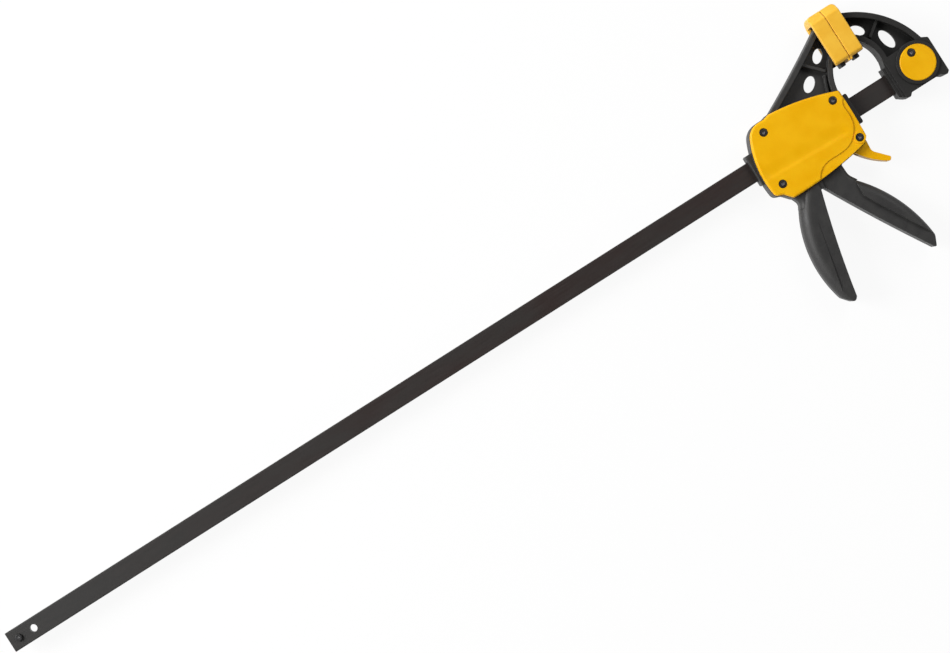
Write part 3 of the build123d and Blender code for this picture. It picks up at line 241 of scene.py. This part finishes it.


# %% [markdown]
# ## The black mouldings
# Frame, trigger and fixed jaw are nylon filled with glass fibres. The tool is spark eroded, so the skin has a
# fine pebble grain, and the fibres float up in faint grey clouds. Handled edges turn a little smoother, and their
# lighter colour is partly wear and partly a painted highlight; corners get a painted shade. The grain of a third
# of a millimetre is drawn at half a millimetre, so that it still shows.

# %% Glass filled nylon
PEBBLE_MM = 0.5
FIBRE_CLOUD_MM = 9.0
FIBRE_FLECK_MM = 0.8
NYLON_WEAR_MM = 5.0
NYLON_CORNER_MM = 10.0


def glass_filled_nylon(name, darker, lighter, painted_recess_shade, roughest, shine):
    made, tree, shader, place = finish_named(name, ior=1.53)
    pebbles = step(tree, "ShaderNodeTexVoronoi", {"feature": "SMOOTH_F1"}, {
        "Vector": place, "Scale": 1000 / PEBBLE_MM, "Smoothness": 0.6}).outputs["Distance"]
    clouds = grain(tree, place, FIBRE_CLOUD_MM, 5.0)
    flecks = spread(tree, grain(tree, place, FIBRE_FLECK_MM), 0.0, 0.12)
    skin = blend_colours(tree, spread(tree, clouds, 0.0, 1.0), darker, lighter)
    # painted shade: closed-in corners darken towards the recess colour
    shaded = blend_colours(tree, corner_shade(tree, NYLON_CORNER_MM, 1.0, 0.3, 0.9), skin, painted_recess_shade)
    flecked = blend_colours(tree, flecks, shaded, "#363634")
    # lighter edges: partly wear, partly a painted highlight
    edge_tint = edge_tint_patches(tree, place, 0.6, NYLON_WEAR_MM, 0.1, 0.5)
    shader.inputs["Specular IOR Level"].default_value = shine
    dress(
        tree, shader, colour=blend_colours(tree, edge_tint, flecked, "#4C4C4A"),
        roughness=spread(tree, clouds, roughest - 0.1, roughest),
        normal=relief(tree, pebbles, depth_mm=0.05, edge_mm=0.6))
    return made


# %% [markdown]
# ## The yellow covers, caps and lever
# These are moulded in a tough yellow ABS with a satin skin. Such a yellow lets light in a little, so thin edges
# glow warmer. The satin comes from a very shallow grain. Hands leave faint scuffs, and the corners get a painted
# orange shade.

# %% Satin yellow ABS
SATIN_GRAIN_MM = 0.35               # the real grain is finer, too fine to show
SCUFF_MM = 14.0
ABS_WEAR_MM = 4.0
ABS_CORNER_MM = 2.5
GLOW_MM = 0.8                       # how far light travels in the plastic
GLOW_REACH = (1.0, 0.45, 0.08)      # and how much of that red, green and blue light reach


def satin_yellow_abs():
    made, tree, shader, place = finish_named("satin_yellow_abs", ior=1.48)
    satin = grain(tree, place, SATIN_GRAIN_MM)
    scuffs = grain(tree, place, SCUFF_MM, 5.0)
    skin = blend_colours(tree, spread(tree, scuffs, 0.0, 1.0), "#EDAE00", "#F2B602")
    # painted shade: closed-in corners darken to orange
    shaded = blend_colours(tree, corner_shade(tree, ABS_CORNER_MM, 0.6, 0.2, 0.8), skin, "#F09A00")
    edge_tint = edge_tint_patches(tree, place, 0.5, ABS_WEAR_MM, 0.1, 0.5)
    shader.inputs["Specular IOR Level"].default_value = 0.2
    shader.inputs["Subsurface Weight"].default_value = 0.06
    shader.inputs["Subsurface Radius"].default_value = GLOW_REACH
    shader.inputs["Subsurface Scale"].default_value = GLOW_MM * MM
    dress(
        tree, shader, colour=blend_colours(tree, edge_tint, shaded, "#F8CB4A"),
        roughness=spread(tree, scuffs, 0.34, 0.46), normal=relief(tree, satin, depth_mm=0.008, edge_mm=0.5))
    return made


# %% [markdown]
# ## The soft boots
# The boots over the jaw plates are a thermoplastic rubber, softer and paler than the covers and quite matt. The
# skin has a leathery grain and a faint bloom at glancing angles, which a little sheen gives.

# %% Thermoplastic rubber
LEATHER_MM = 0.9
BLOOM_CLOUD_MM = 11.0
RUBBER_CORNER_MM = 3.0


def yellow_rubber():
    made, tree, shader, place = finish_named("yellow_thermoplastic_rubber", ior=1.5)
    leather = step(tree, "ShaderNodeTexVoronoi", {"feature": "DISTANCE_TO_EDGE"}, {
        "Vector": place, "Scale": 1000 / LEATHER_MM}).outputs["Distance"]
    clouds = grain(tree, place, BLOOM_CLOUD_MM, 4.0)
    skin = blend_colours(tree, spread(tree, clouds, 0.0, 1.0), "#F0B41C", "#F5BD2C")
    shader.inputs["Sheen Weight"].default_value = 0.25
    shader.inputs["Sheen Roughness"].default_value = 0.5
    # painted shade: closed-in corners and the groove between the boots darken to orange
    dress(
        tree, shader,
        colour=blend_colours(tree, corner_shade(tree, RUBBER_CORNER_MM, 0.5, 0.3, 0.85), skin, "#CE8A0C"),
        roughness=spread(tree, clouds, 0.55, 0.68), normal=relief(tree, leather, depth_mm=0.02, edge_mm=0.4))
    return made


# %% [markdown]
# ## Small metal pieces
# The screws are blackened too, but turned rather than rolled, and the floor of their sockets is painted light, as
# a painted highlight. The gripping plates are ground steel with the grinding marks across them, and pins and
# sleeves are much the same. The springs are oil-tempered wire, which is grey-brown and slightly glossy.

# %% Screws, plates, pins and wire
SPECKLE_MM = 0.7
SCREW_WEAR_MM = 1.5
SOCKET_GRAIN_MM = 0.3
GRINDING_MARK_MM = 0.25             # real marks are finer, too fine to show
GRINDING_STRETCH = 30.0
STEEL_STAIN_MM = 5.0
WIRE_STAIN_MM = 2.0


def black_oxide_screw():
    made, tree, shader, place = finish_named("black_oxide_turned_steel", ior=1.6)
    speckle = grain(tree, place, SPECKLE_MM, 3.0)
    skin = blend_colours(tree, spread(tree, speckle, 0.0, 1.0), "#131213", "#1C1B1C")
    edge_tint = edge_tint_patches(tree, place, 0.25, SCREW_WEAR_MM, 0.2, 0.9)
    dress(
        tree, shader, colour=blend_colours(tree, edge_tint, skin, "#6E6A66"),
        roughness=spread(tree, speckle, 0.32, 0.48), normal=relief(tree, speckle, depth_mm=0.006, edge_mm=0.12))
    return made


# painted highlight: the socket floor is a light metal colour
def socket_floor_highlight():
    made, tree, shader, place = finish_named("steel_socket_floor_painted_highlight", metallic=0.6)
    socket_grain = grain(tree, place, SOCKET_GRAIN_MM, 3.0)
    dress(
        tree, shader, colour=blend_colours(tree, spread(tree, socket_grain, 0.0, 1.0), "#8E898F", "#C9C4CA"),
        roughness=spread(tree, socket_grain, 0.35, 0.6), normal=relief(tree, socket_grain, depth_mm=0.01, edge_mm=0.1))
    return made


def ground_steel():
    made, tree, shader, place = finish_named("ground_steel", metallic=1.0)
    marks = grain(tree, place, GRINDING_MARK_MM, 2.0, (1.0, 1.0, GRINDING_STRETCH))
    stains = grain(tree, place, STEEL_STAIN_MM, 4.0)
    skin = blend_colours(tree, spread(tree, stains, 0.0, 1.0), "#A3A3A5", "#B8B7B4")
    dress(
        tree, shader, colour=blend_colours(tree, edges(tree, 0.3), skin, "#D2D1CE"),
        roughness=spread(tree, marks, 0.26, 0.44), normal=relief(tree, marks, depth_mm=0.004, edge_mm=0.2))
    return made


def oil_tempered_wire():
    made, tree, shader, place = finish_named("oil_tempered_wire", metallic=1.0)
    stains = grain(tree, place, WIRE_STAIN_MM, 4.0)
    dress(
        tree, shader, colour=blend_colours(tree, spread(tree, stains, 0.0, 1.0), "#6C6761", "#8B867F"),
        roughness=spread(tree, stains, 0.3, 0.46), normal=relief(tree, stains, depth_mm=0.004, edge_mm=0.1))
    return made


# %% [markdown]
# ## Every solid gets its finish
# The frame's record says which material each solid is made of. Two solids differ from their record: the fixed
# jaw is moulded in a duller, darker batch of the nylon, and the stop pin is blackened as the screws are.

# %% Finishes
frame_nylon = glass_filled_nylon(
    "glass_filled_nylon", "#272626", "#2D2C2B", painted_recess_shade="#1C1B1B", roughest=0.60, shine=0.5)
jaw_nylon = glass_filled_nylon(
    "glass_filled_nylon_of_the_jaw", "#1D1C1B", "#232221", painted_recess_shade="#050505", roughest=0.64, shine=0.3)
finishes = {
    "bar_steel": black_oxide_bar(), "black_nylon": frame_nylon, "yellow_plastic": satin_yellow_abs(),
    "yellow_pad": yellow_rubber(), "black_screw": black_oxide_screw(), "steel": ground_steel(),
    "spring_steel": oil_tempered_wire(),
}
slot_of = {sub["node"]: sub["material_slot"] for sub in frame["record"]["subparts"]}
for name, solid in nodes.items():
    solid.data.materials.clear()
    solid.data.materials.append(jaw_nylon if name == "fixed_jaw" else finishes[slot_of[name]])
nodes["stop_pin"].data.materials[0] = finishes["black_screw"]
print("finishes:", ", ".join(sorted(finishes)))

# %% [markdown]
# ## Softened pieces
# A moulding has no knife edges: its tool is cut with a rounded cutter, and rubber boots are rounder still. A
# copy of the drawn solid is welded together, its flat faces are joined, and its edges are bevelled with several
# segments. The Bevel operator keeps the flat faces flat, which a subdivided cage would not.

# %% Rounding the edges of a drawn solid
MERGE_MM = 0.002                    # corners nearer to each other than this become one
SNAP_MM = 0.001                     # a cut goes through a corner that is nearer than this


def merged(name):
    """A bmesh of a drawn solid, its loose triangles joined at their corners."""
    shell = bmesh.new()
    shell.from_mesh(nodes[name].data)
    bmesh.ops.remove_doubles(shell, verts=shell.verts, dist=MERGE_MM * MM)
    return shell


def join_flat_faces(shell, flat_deg=1.0):
    """Joins neighbouring faces that lie in one plane to within flat_deg."""
    bmesh.ops.dissolve_limit(
        shell, angle_limit=math.radians(flat_deg), verts=shell.verts, edges=shell.edges,
        use_dissolve_boundaries=False, delimit={"NORMAL"})


def soften(shell, radius_mm, segments=3, sharp_deg=25.0, shortest_mm=0.0):
    """Bevels the edges that are sharper than sharp_deg and longer than shortest_mm, and counts them."""
    sharp = [
        e for e in shell.edges if len(e.link_faces) == 2
        and e.calc_face_angle(0.0) > math.radians(sharp_deg) and e.calc_length() > shortest_mm * MM]
    bmesh.ops.bevel(
        shell, geom=sharp, offset=radius_mm * MM, offset_type="OFFSET", segments=segments, profile=0.5,
        affect="EDGES", clamp_overlap=True, material=-1)
    return len(sharp)


# %% [markdown]
# ## From a bmesh to a piece
# A finished bmesh becomes an object that rides on its body and takes its finish. Its faces are shaded smooth up
# to an angle. A Weighted Normal modifier lets large faces lead the shading, so a flat face stays flat right up
# to its narrow round. A copy of a drawn solid still carries that solid's own normals, which have to go first.


# %% Piece
def piece_from(shell, name, body, slot, smooth_deg=40.0, replaced=(), second=None):
    """Makes the object of a finished bmesh; second is a material for the faces that ask for it."""
    mesh = bpy.data.meshes.new(name)
    bmesh.ops.recalc_face_normals(shell, faces=shell.faces)
    shell.to_mesh(mesh)
    shell.free()
    if mesh.has_custom_normals:
        mesh.attributes.remove(mesh.attributes["custom_normal"])
    mesh.materials.append(finishes[slot])
    if second:
        mesh.materials.append(second)
    made = bpy.data.objects.new(name, mesh)
    bpy.context.scene.collection.objects.link(made)
    mesh.shade_smooth()
    mesh.set_sharp_from_angle(angle=math.radians(smooth_deg))
    even = made.modifiers.new("normals_by_area", "WEIGHTED_NORMAL")
    even.keep_sharp = True
    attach(made, body)
    if replaced:
        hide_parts(*replaced)
    print(f"{name}: {len(mesh.polygons)} faces")
    return made


# %% [markdown]
# ## The two covers
# A long soft crease runs over the cover from its rear edge nearly to the border at the front. Above the crease
# the skin sinks slowly, below it rises again at once. The drawn cover only hints at it, so on a copy the top is
# cut into a fine grid with the Bisect operator, and every point of the grid is set to its height. The rear cover
# is the same cover turned over.

# %% Crease, in millimetres
COVER_TOP = 17.5
COVER_EDGE = 2.0                    # round of the cover's rim
COVER_REAR_ARC = ((-120.2, -28.9), (-119.8, 3.0), (-107.9, 34.0))
CREASE_START = (-120.0, -10.4)
CREASE_END = (-33.0, -13.6)
CREASE_DEPTH = 0.6
CREASE_SLOPE = 11.0                 # width of the side that sinks slowly
CREASE_FOOT = 4.2                   # width of the side that rises at once
CREASE_FADE = (5.0, 9.0)            # length over which it fades at its start and at its end
CREASE_ZONE = (-18.5, 2.0)          # the skin between these heights on the drawing is set anew
CREASE_PAST_END = 3.0               # and it is set anew this far past the crease's end


# %% Height of the cover's skin
def ease(part):
    """A soft step from 0 to 1."""
    part = min(1.0, max(0.0, part))
    return part * part * (3.0 - 2.0 * part)


def circle_through(first, second, third):
    """The centre and the radius of the circle through three points."""
    a, b, c = (Vector(point) for point in (first, second, third))
    a2, b2, c2 = a.length_squared, b.length_squared, c.length_squared
    turn = 2.0 * (a.x * (b.y - c.y) + b.x * (c.y - a.y) + c.x * (a.y - b.y))
    x = (a2 * (b.y - c.y) + b2 * (c.y - a.y) + c2 * (a.y - b.y)) / turn
    y = (a2 * (c.x - b.x) + b2 * (a.x - c.x) + c2 * (b.x - a.x)) / turn
    return Vector((x, y)), (a - Vector((x, y))).length


rear_centre, rear_radius = circle_through(*COVER_REAR_ARC)
print("radius of the cover's rear edge, mm:", round(rear_radius, 1))


def crease_sink(x, y):
    """How far the crease sinks the skin at a place on the drawing."""
    along = (x - CREASE_START[0]) / (CREASE_END[0] - CREASE_START[0])
    side = y - CREASE_START[1] - along * (CREASE_END[1] - CREASE_START[1])
    across = ease(1.0 - side / CREASE_SLOPE) if side > 0.0 else ease(1.0 + side / CREASE_FOOT)
    ends = ease((x - CREASE_START[0]) / CREASE_FADE[0]) * ease((CREASE_END[0] - x) / CREASE_FADE[1])
    return CREASE_DEPTH * across * ends


def skin_height(x, y):
    """The height of the cover's skin near the crease, with the round of its rear edge."""
    inside = rear_radius - (Vector((x, y)) - rear_centre).length
    missing = max(0.0, COVER_EDGE - inside)
    round_drop = COVER_EDGE - math.sqrt(max(0.0, COVER_EDGE ** 2 - missing ** 2))
    return COVER_TOP - round_drop - crease_sink(x, y)


# %% Which faces are the cover's skin, in millimetres
SKIN_BAND = 0.6                     # a face of the skin is this near the top
REAR_SKIN_BAND = 1.9                # or, in the rear part with its round rim, this near
REAR_PART_END = -60.0
LEAST_OUTWARD = 0.2                 # and this much of its normal points outwards


def on_skin(face, side):
    """Whether a face belongs to a cover's outer skin, not to its wall or its inside."""
    centre = face.calc_center_median() / MM - DRAWING_ORIGIN
    out = side * centre.z
    high = out > COVER_TOP - SKIN_BAND or (centre.x < REAR_PART_END and out > COVER_TOP - REAR_SKIN_BAND)
    return high and side * face.normal.z > LEAST_OUTWARD


# %% Covers with their crease
GRID_COLUMNS = range(-120, -28, 2)
GRID_ROW_STEP = 0.75
GRID_ROWS = 28

cuts = [((x, 0.0), (1.0, 0.0, 0.0)) for x in GRID_COLUMNS]
cuts += [((0.0, CREASE_ZONE[0] + GRID_ROW_STEP * row), (0.0, 1.0, 0.0)) for row in range(GRID_ROWS)]
for node, side in (("front_cover", 1), ("rear_cover", -1)):
    cover = merged(node)
    for point, normal in cuts:
        skin = [f for f in cover.faces if on_skin(f, side)]
        around = set(skin)
        for f in skin:
            around.update(f.edges)
            around.update(f.verts)
        bmesh.ops.bisect_plane(
            cover, geom=list(around), dist=SNAP_MM * MM, plane_co=on_clamp(*point), plane_no=normal)
    moved = 0
    for vert in {v for f in cover.faces if on_skin(f, side) for v in f.verts}:
        place = vert.co / MM - DRAWING_ORIGIN
        if CREASE_ZONE[0] < place.y < CREASE_ZONE[1] and place.x < CREASE_END[0] + CREASE_PAST_END:
            vert.co.z = on_clamp(0.0, 0.0, side * skin_height(place.x, place.y)).z
            moved += 1
    print(node, "points of the skin set to their height:", moved)
    piece_from(cover, f"creased_{node}", "carriage", "yellow_plastic", smooth_deg=30.0, replaced=(node,))

# %% [markdown]
# ## The webs at the root of the handle
# Where the handle leaves the housing, a thin wall on each side closes the corner in front of it, so that no
# light falls through beside the trigger. Each wall is a small plate, filled between four corners and extruded.

# %% Root webs, in millimetres
ROOT_WEB = ((-84.5, -45.6), (-79.0, -45.1), (-78.2, -37.5), (-84.5, -37.5))
ROOT_WEB_Z = (11.0, 11.9)

webs = bmesh.new()
for side in (1, -1):
    corners = [webs.verts.new(on_clamp(x, y, side * ROOT_WEB_Z[0])) for x, y in ROOT_WEB]
    plate = bmesh.ops.extrude_face_region(webs, geom=[webs.faces.new(corners)], use_keep_orig=True)["geom"]
    far = [v for v in plate if isinstance(v, bmesh.types.BMVert)]
    bmesh.ops.translate(webs, verts=far, vec=(0, 0, side * (ROOT_WEB_Z[1] - ROOT_WEB_Z[0]) * MM))
piece_from(webs, "handle_root_webs", "carriage", "black_nylon")

# %% [markdown]
# ## The two boots
# Each boot is a thick cap of rubber pulled over a jaw plate: a flat clamping face, an end that slopes to both
# sides, and an open foot below which the clamping face runs on as a short tongue. The tongue's plate must not
# stand proud of the slopes, so two planes cut the end clean first. Then all edges get a round, which also makes
# the soft groove where the two boots meet.

# %% Boots, in millimetres
PAD_TOP = 88.5
PAD_HALF = 19.0
PAD_END_BEVEL = 7.5
BOOT_ROUND = 1.0
TRIM = 0.03                         # how deep the planes cut into the drawn slopes

for node, body in (("fixed_pad", "fixed_side"), ("moving_pad", "carriage")):
    boot = merged(node)
    join_flat_faces(boot)
    for side in (1, -1):
        slope = on_clamp(0.0, PAD_TOP - PAD_END_BEVEL - TRIM, side * PAD_HALF)
        around = list(boot.verts) + list(boot.edges) + list(boot.faces)
        bmesh.ops.bisect_plane(
            boot, geom=around, dist=SNAP_MM * MM, plane_co=slope, plane_no=(0.0, 1.0, side), clear_outer=True)
        bmesh.ops.holes_fill(boot, edges=[e for e in boot.edges if e.is_boundary], sides=0)
    join_flat_faces(boot)
    print(node, "edges rounded:", soften(boot, BOOT_ROUND, segments=4))
    piece_from(boot, f"{node}_boot", body, "yellow_pad", smooth_deg=60.0, replaced=(node,))

# %% [markdown]
# ## The release lever
# The lever is pressed with a thumb, so all its edges are round. It is softened as the boots are. Its curved
# sides are drawn in narrow strips, so only edges much sharper than the bends between strips are bevelled.

# %% Lever, in millimetres and degrees
LEVER_ROUND = 0.8
LEVER_FLAT_DEG = 1.5
LEVER_SHARP_DEG = 50.0

lever = merged("release_lever")
join_flat_faces(lever, LEVER_FLAT_DEG)
print("lever edges:", soften(lever, LEVER_ROUND, sharp_deg=LEVER_SHARP_DEG, shortest_mm=LEVER_ROUND))
piece_from(lever, "release_lever_round", "release", "yellow_plastic", replaced=("release_lever",))

# %% [markdown]
# ## The two springs
# A coil of wire shortens when the plates beside it move. Each spring here is a copy of the drawn coil, with a
# mesh of its own, that rides on the carriage.

# %% Springs: solid, joint, seat on the bar and travel of the free end, in millimetres
SPRINGS = (
    ("drive_spring", "drive_slide", -114.6, 6.6),
    ("brake_spring", "brake_tilt", -52.2, 1.26),
)

for node, joint, seat, travel in SPRINGS:
    wire = piece_from(
        merged(node), f"{node}_coil", "carriage", "spring_steel", smooth_deg=50.0, replaced=(node,))
    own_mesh(wire)

# %% [markdown]
# ## Screws
# Five socket screws hold the clamp together. A screw starts as a disc. Its top face is inset twice, and the
# inner rim is drawn to a hexagon and sunk. The outer rim gets a round, as a turned head has, and the shank is
# another disc, drawn down to the tip.

# %% Screw sizes, as drawn, in millimetres
HEAD_RADIUS = 3.7
HEAD_HEIGHT = 2.6
HEAD_ROUND = 0.7
SHANK_RADIUS = 1.75
SOCKET_RADIUS = 1.6
SOCKET_DEPTH = 1.6
SOCKET_RIM = 0.15                   # narrow ring in which the round socket turns into a hexagon
HEAD_SINK = 0.5                     # how deep a head sits below the cover or the cap
BLIND = 1.4                         # what is left of the far cover below the tip
CAP_BLIND = 1.9
COVER_SCREWS = ((-99.5, 24.2), (-33.1, 15.4), (-30.3, -24.6), (-109.3, -23.0))
CAP_SCREW = (48.3, 14.0)
CAP_TOP = 14.3
RIM_STEPS = 48


# %% Screw
def hexagon_reach(turn):
    """The distance of a hexagon's side from its centre at an angle, for a corner radius of 1."""
    return math.cos(math.pi / 6) / math.cos(turn % (math.pi / 3) - math.pi / 6)


def add_screw(shell, place, top_mm, foot_mm):
    """Adds one socket screw to a bmesh: its head ends at top_mm and its shank at foot_mm."""
    before = set(shell.verts)
    rim = bmesh.ops.create_circle(
        shell, cap_ends=True, radius=HEAD_RADIUS * MM, segments=RIM_STEPS)["verts"]
    disc = rim[0].link_faces[0]
    raised = bmesh.ops.extrude_face_region(shell, geom=[disc], use_keep_orig=True)["geom"]
    top_verts = [v for v in raised if isinstance(v, bmesh.types.BMVert)]
    bmesh.ops.translate(shell, verts=top_verts, vec=(0, 0, HEAD_HEIGHT * MM))
    top = [f for f in raised if isinstance(f, bmesh.types.BMFace)][0]
    bmesh.ops.bevel(
        shell, geom=list(top.edges), offset=HEAD_ROUND * MM, offset_type="OFFSET", segments=4, profile=0.5,
        affect="EDGES", clamp_overlap=True, material=-1)
    top = max((f for f in shell.faces if not before & set(f.verts)), key=lambda f: f.calc_center_median().z)
    bmesh.ops.inset_region(
        shell, faces=[top], thickness=(HEAD_RADIUS - HEAD_ROUND - SOCKET_RADIUS - SOCKET_RIM) * MM)
    bmesh.ops.inset_region(shell, faces=[top], thickness=SOCKET_RIM * MM)
    for vert in top.verts:
        turn = math.atan2(vert.co.y, vert.co.x)
        reach = SOCKET_RADIUS * MM * hexagon_reach(turn)
        vert.co.x, vert.co.y = reach * math.cos(turn), reach * math.sin(turn)
    sunk = bmesh.ops.extrude_discrete_faces(shell, faces=[top])["faces"]
    bmesh.ops.translate(shell, verts=list(sunk[0].verts), vec=(0, 0, -SOCKET_DEPTH * MM))
    sunk[0].material_index = 1
    shank = bmesh.ops.create_cone(
        shell, cap_ends=True, segments=RIM_STEPS // 2, radius1=SHANK_RADIUS * MM, radius2=SHANK_RADIUS * MM,
        depth=(top_mm - HEAD_HEIGHT - foot_mm) * MM)["verts"]
    bmesh.ops.translate(shell, verts=shank, vec=(0, 0, (foot_mm - top_mm + HEAD_HEIGHT) / 2 * MM))
    own = [v for v in shell.verts if v not in before]
    bmesh.ops.translate(shell, verts=own, vec=on_clamp(*place, top_mm - HEAD_HEIGHT))


# %% The screws of the covers and of the caps
socket_highlight_steel = socket_floor_highlight()
screws = bmesh.new()
for place in COVER_SCREWS:
    add_screw(screws, place, COVER_TOP - HEAD_SINK, -COVER_TOP + BLIND)
piece_from(
    screws, "cover_socket_screws", "carriage", "black_screw", smooth_deg=35.0, replaced=("cover_screws",),
    second=socket_highlight_steel)

cap_screw = bmesh.new()
add_screw(cap_screw, CAP_SCREW, CAP_TOP - HEAD_SINK, -CAP_TOP + CAP_BLIND)
piece_from(
    cap_screw, "cap_socket_screw", "fixed_side", "black_screw", smooth_deg=35.0, replaced=("jaw_cap_screw",),
    second=socket_highlight_steel)

# %% [markdown]
# ## Floor
# The floor is a plain pale sheet. What the camera sees of it is mostly its own white, so that it stays even, and
# the rest is lit, so that the soft shadow of the clamp stays on it. Glossy pieces see it the same way.

# %% Floor
FLOOR_HALF_M = 6.0
OWN_WHITE = 0.92                    # how much of the floor's look is its own white

floor_shape = bmesh.new()
bmesh.ops.create_grid(floor_shape, x_segments=1, y_segments=1, size=FLOOR_HALF_M)
floor_mesh = bpy.data.meshes.new("floor")
floor_shape.to_mesh(floor_mesh)
floor_shape.free()
floor = bpy.data.objects.new("floor", floor_mesh)
bpy.context.scene.collection.objects.link(floor)
paper = bpy.data.materials.new("white_paper")
paper.use_nodes = True
paper.node_tree.nodes.clear()
matt = step(paper.node_tree, "ShaderNodeBsdfDiffuse", {}, {"Color": srgb("#F6F6F6")})
glow = step(paper.node_tree, "ShaderNodeEmission", {}, {"Color": srgb("#FFFFFF"), "Strength": 1.0})
path = step(paper.node_tree, "ShaderNodeLightPath", {}, {})
mirrored = step(paper.node_tree, "ShaderNodeMath", {"operation": "MAXIMUM"}, {
    0: path.outputs["Is Glossy Ray"], 1: path.outputs["Is Transmission Ray"]})
seen = step(paper.node_tree, "ShaderNodeMath", {"operation": "MAXIMUM"}, {
    0: path.outputs["Is Camera Ray"], 1: mirrored.outputs[0]})
part_white = step(paper.node_tree, "ShaderNodeMath", {"operation": "MULTIPLY"}, {
    0: seen.outputs[0], 1: OWN_WHITE})
shown = step(paper.node_tree, "ShaderNodeMixShader", {}, {
    0: part_white.outputs[0], 1: matt.outputs["BSDF"], 2: glow.outputs["Emission"]})
step(paper.node_tree, "ShaderNodeOutputMaterial", {}, {"Surface": shown.outputs["Shader"]})
floor_mesh.materials.append(paper)
print("floor, m:", 2 * FLOOR_HALF_M, "square")

# %% [markdown]
# ## Room and lamps
# The room is bright at the horizon and darker overhead, as between softboxes, and brighter on the side of the
# jaws' tips. Four softboxes shape the clamp: the strongest stands beyond the bar's free end. One lamp alone
# would do for a sketch, but black mouldings need light from several sides to show their edges.

# %% Room
ZENITH_LIGHT = 0.08
HORIZON_LIGHT = 0.72
DARKENS_OVER = (0.0, 0.9)           # from the horizon's light to the zenith's, as the sine of the height
BRIGHT_SIDE = math.radians(115.0)   # from where the room is brightest
FAR_SIDE = 0.55                     # light from the opposite side, as a part of that
SIDE_OVER = (-0.3, 0.9)             # between these cosines of the angle to the bright side it changes

room = bpy.data.worlds.new("room")
bpy.context.scene.world = room
room.use_nodes = True
room.node_tree.nodes.clear()
direction = step(room.node_tree, "ShaderNodeTexCoord", {}, {})
height = step(room.node_tree, "ShaderNodeSeparateXYZ", {}, {"Vector": direction.outputs["Generated"]})
level = spread(room.node_tree, height.outputs["Z"], HORIZON_LIGHT, ZENITH_LIGHT, *DARKENS_OVER)
facing = step(room.node_tree, "ShaderNodeVectorMath", {"operation": "DOT_PRODUCT"}, {
    0: direction.outputs["Generated"], 1: (math.cos(BRIGHT_SIDE), math.sin(BRIGHT_SIDE), 0.0)})
share = spread(room.node_tree, facing.outputs["Value"], FAR_SIDE, 1.0, *SIDE_OVER)
sided = step(room.node_tree, "ShaderNodeMath", {"operation": "MULTIPLY"}, {0: level, 1: share})
sky = step(room.node_tree, "ShaderNodeBackground", {}, {
    "Color": srgb("#FFFFFF"), "Strength": sided.outputs[0]})
step(room.node_tree, "ShaderNodeOutputWorld", {}, {"Surface": sky.outputs["Background"]})

# %% Softboxes: place and size in metres, and watts
SOFTBOXES = {
    "beyond_the_free_end": ((-1.9, 1.5, 1.8), (1.6, 1.6), 106.0),
    "above_the_free_end": ((-1.35, -0.1, 2.4), (1.0, 1.0), 2.0),
    "beyond_the_jaws": ((1.9, 0.8, 2.2), (1.4, 1.4), 22.0),
    "below_the_handle": ((-0.6, -2.1, 2.2), (1.6, 1.2), 7.0),
}

for name, (place, size, watts) in SOFTBOXES.items():
    lamp = bpy.data.lights.new(name, "AREA")
    lamp.shape = "RECTANGLE"
    lamp.size, lamp.size_y = size
    lamp.energy = watts
    holder = bpy.data.objects.new(name, lamp)
    holder.location = place
    to_the_middle = Vector((0.0, 0.0, 0.0)) - Vector(place)
    holder.rotation_euler = to_the_middle.to_track_quat("-Z", "Y").to_euler()
    bpy.context.scene.collection.objects.link(holder)
print("softboxes:", ", ".join(SOFTBOXES))
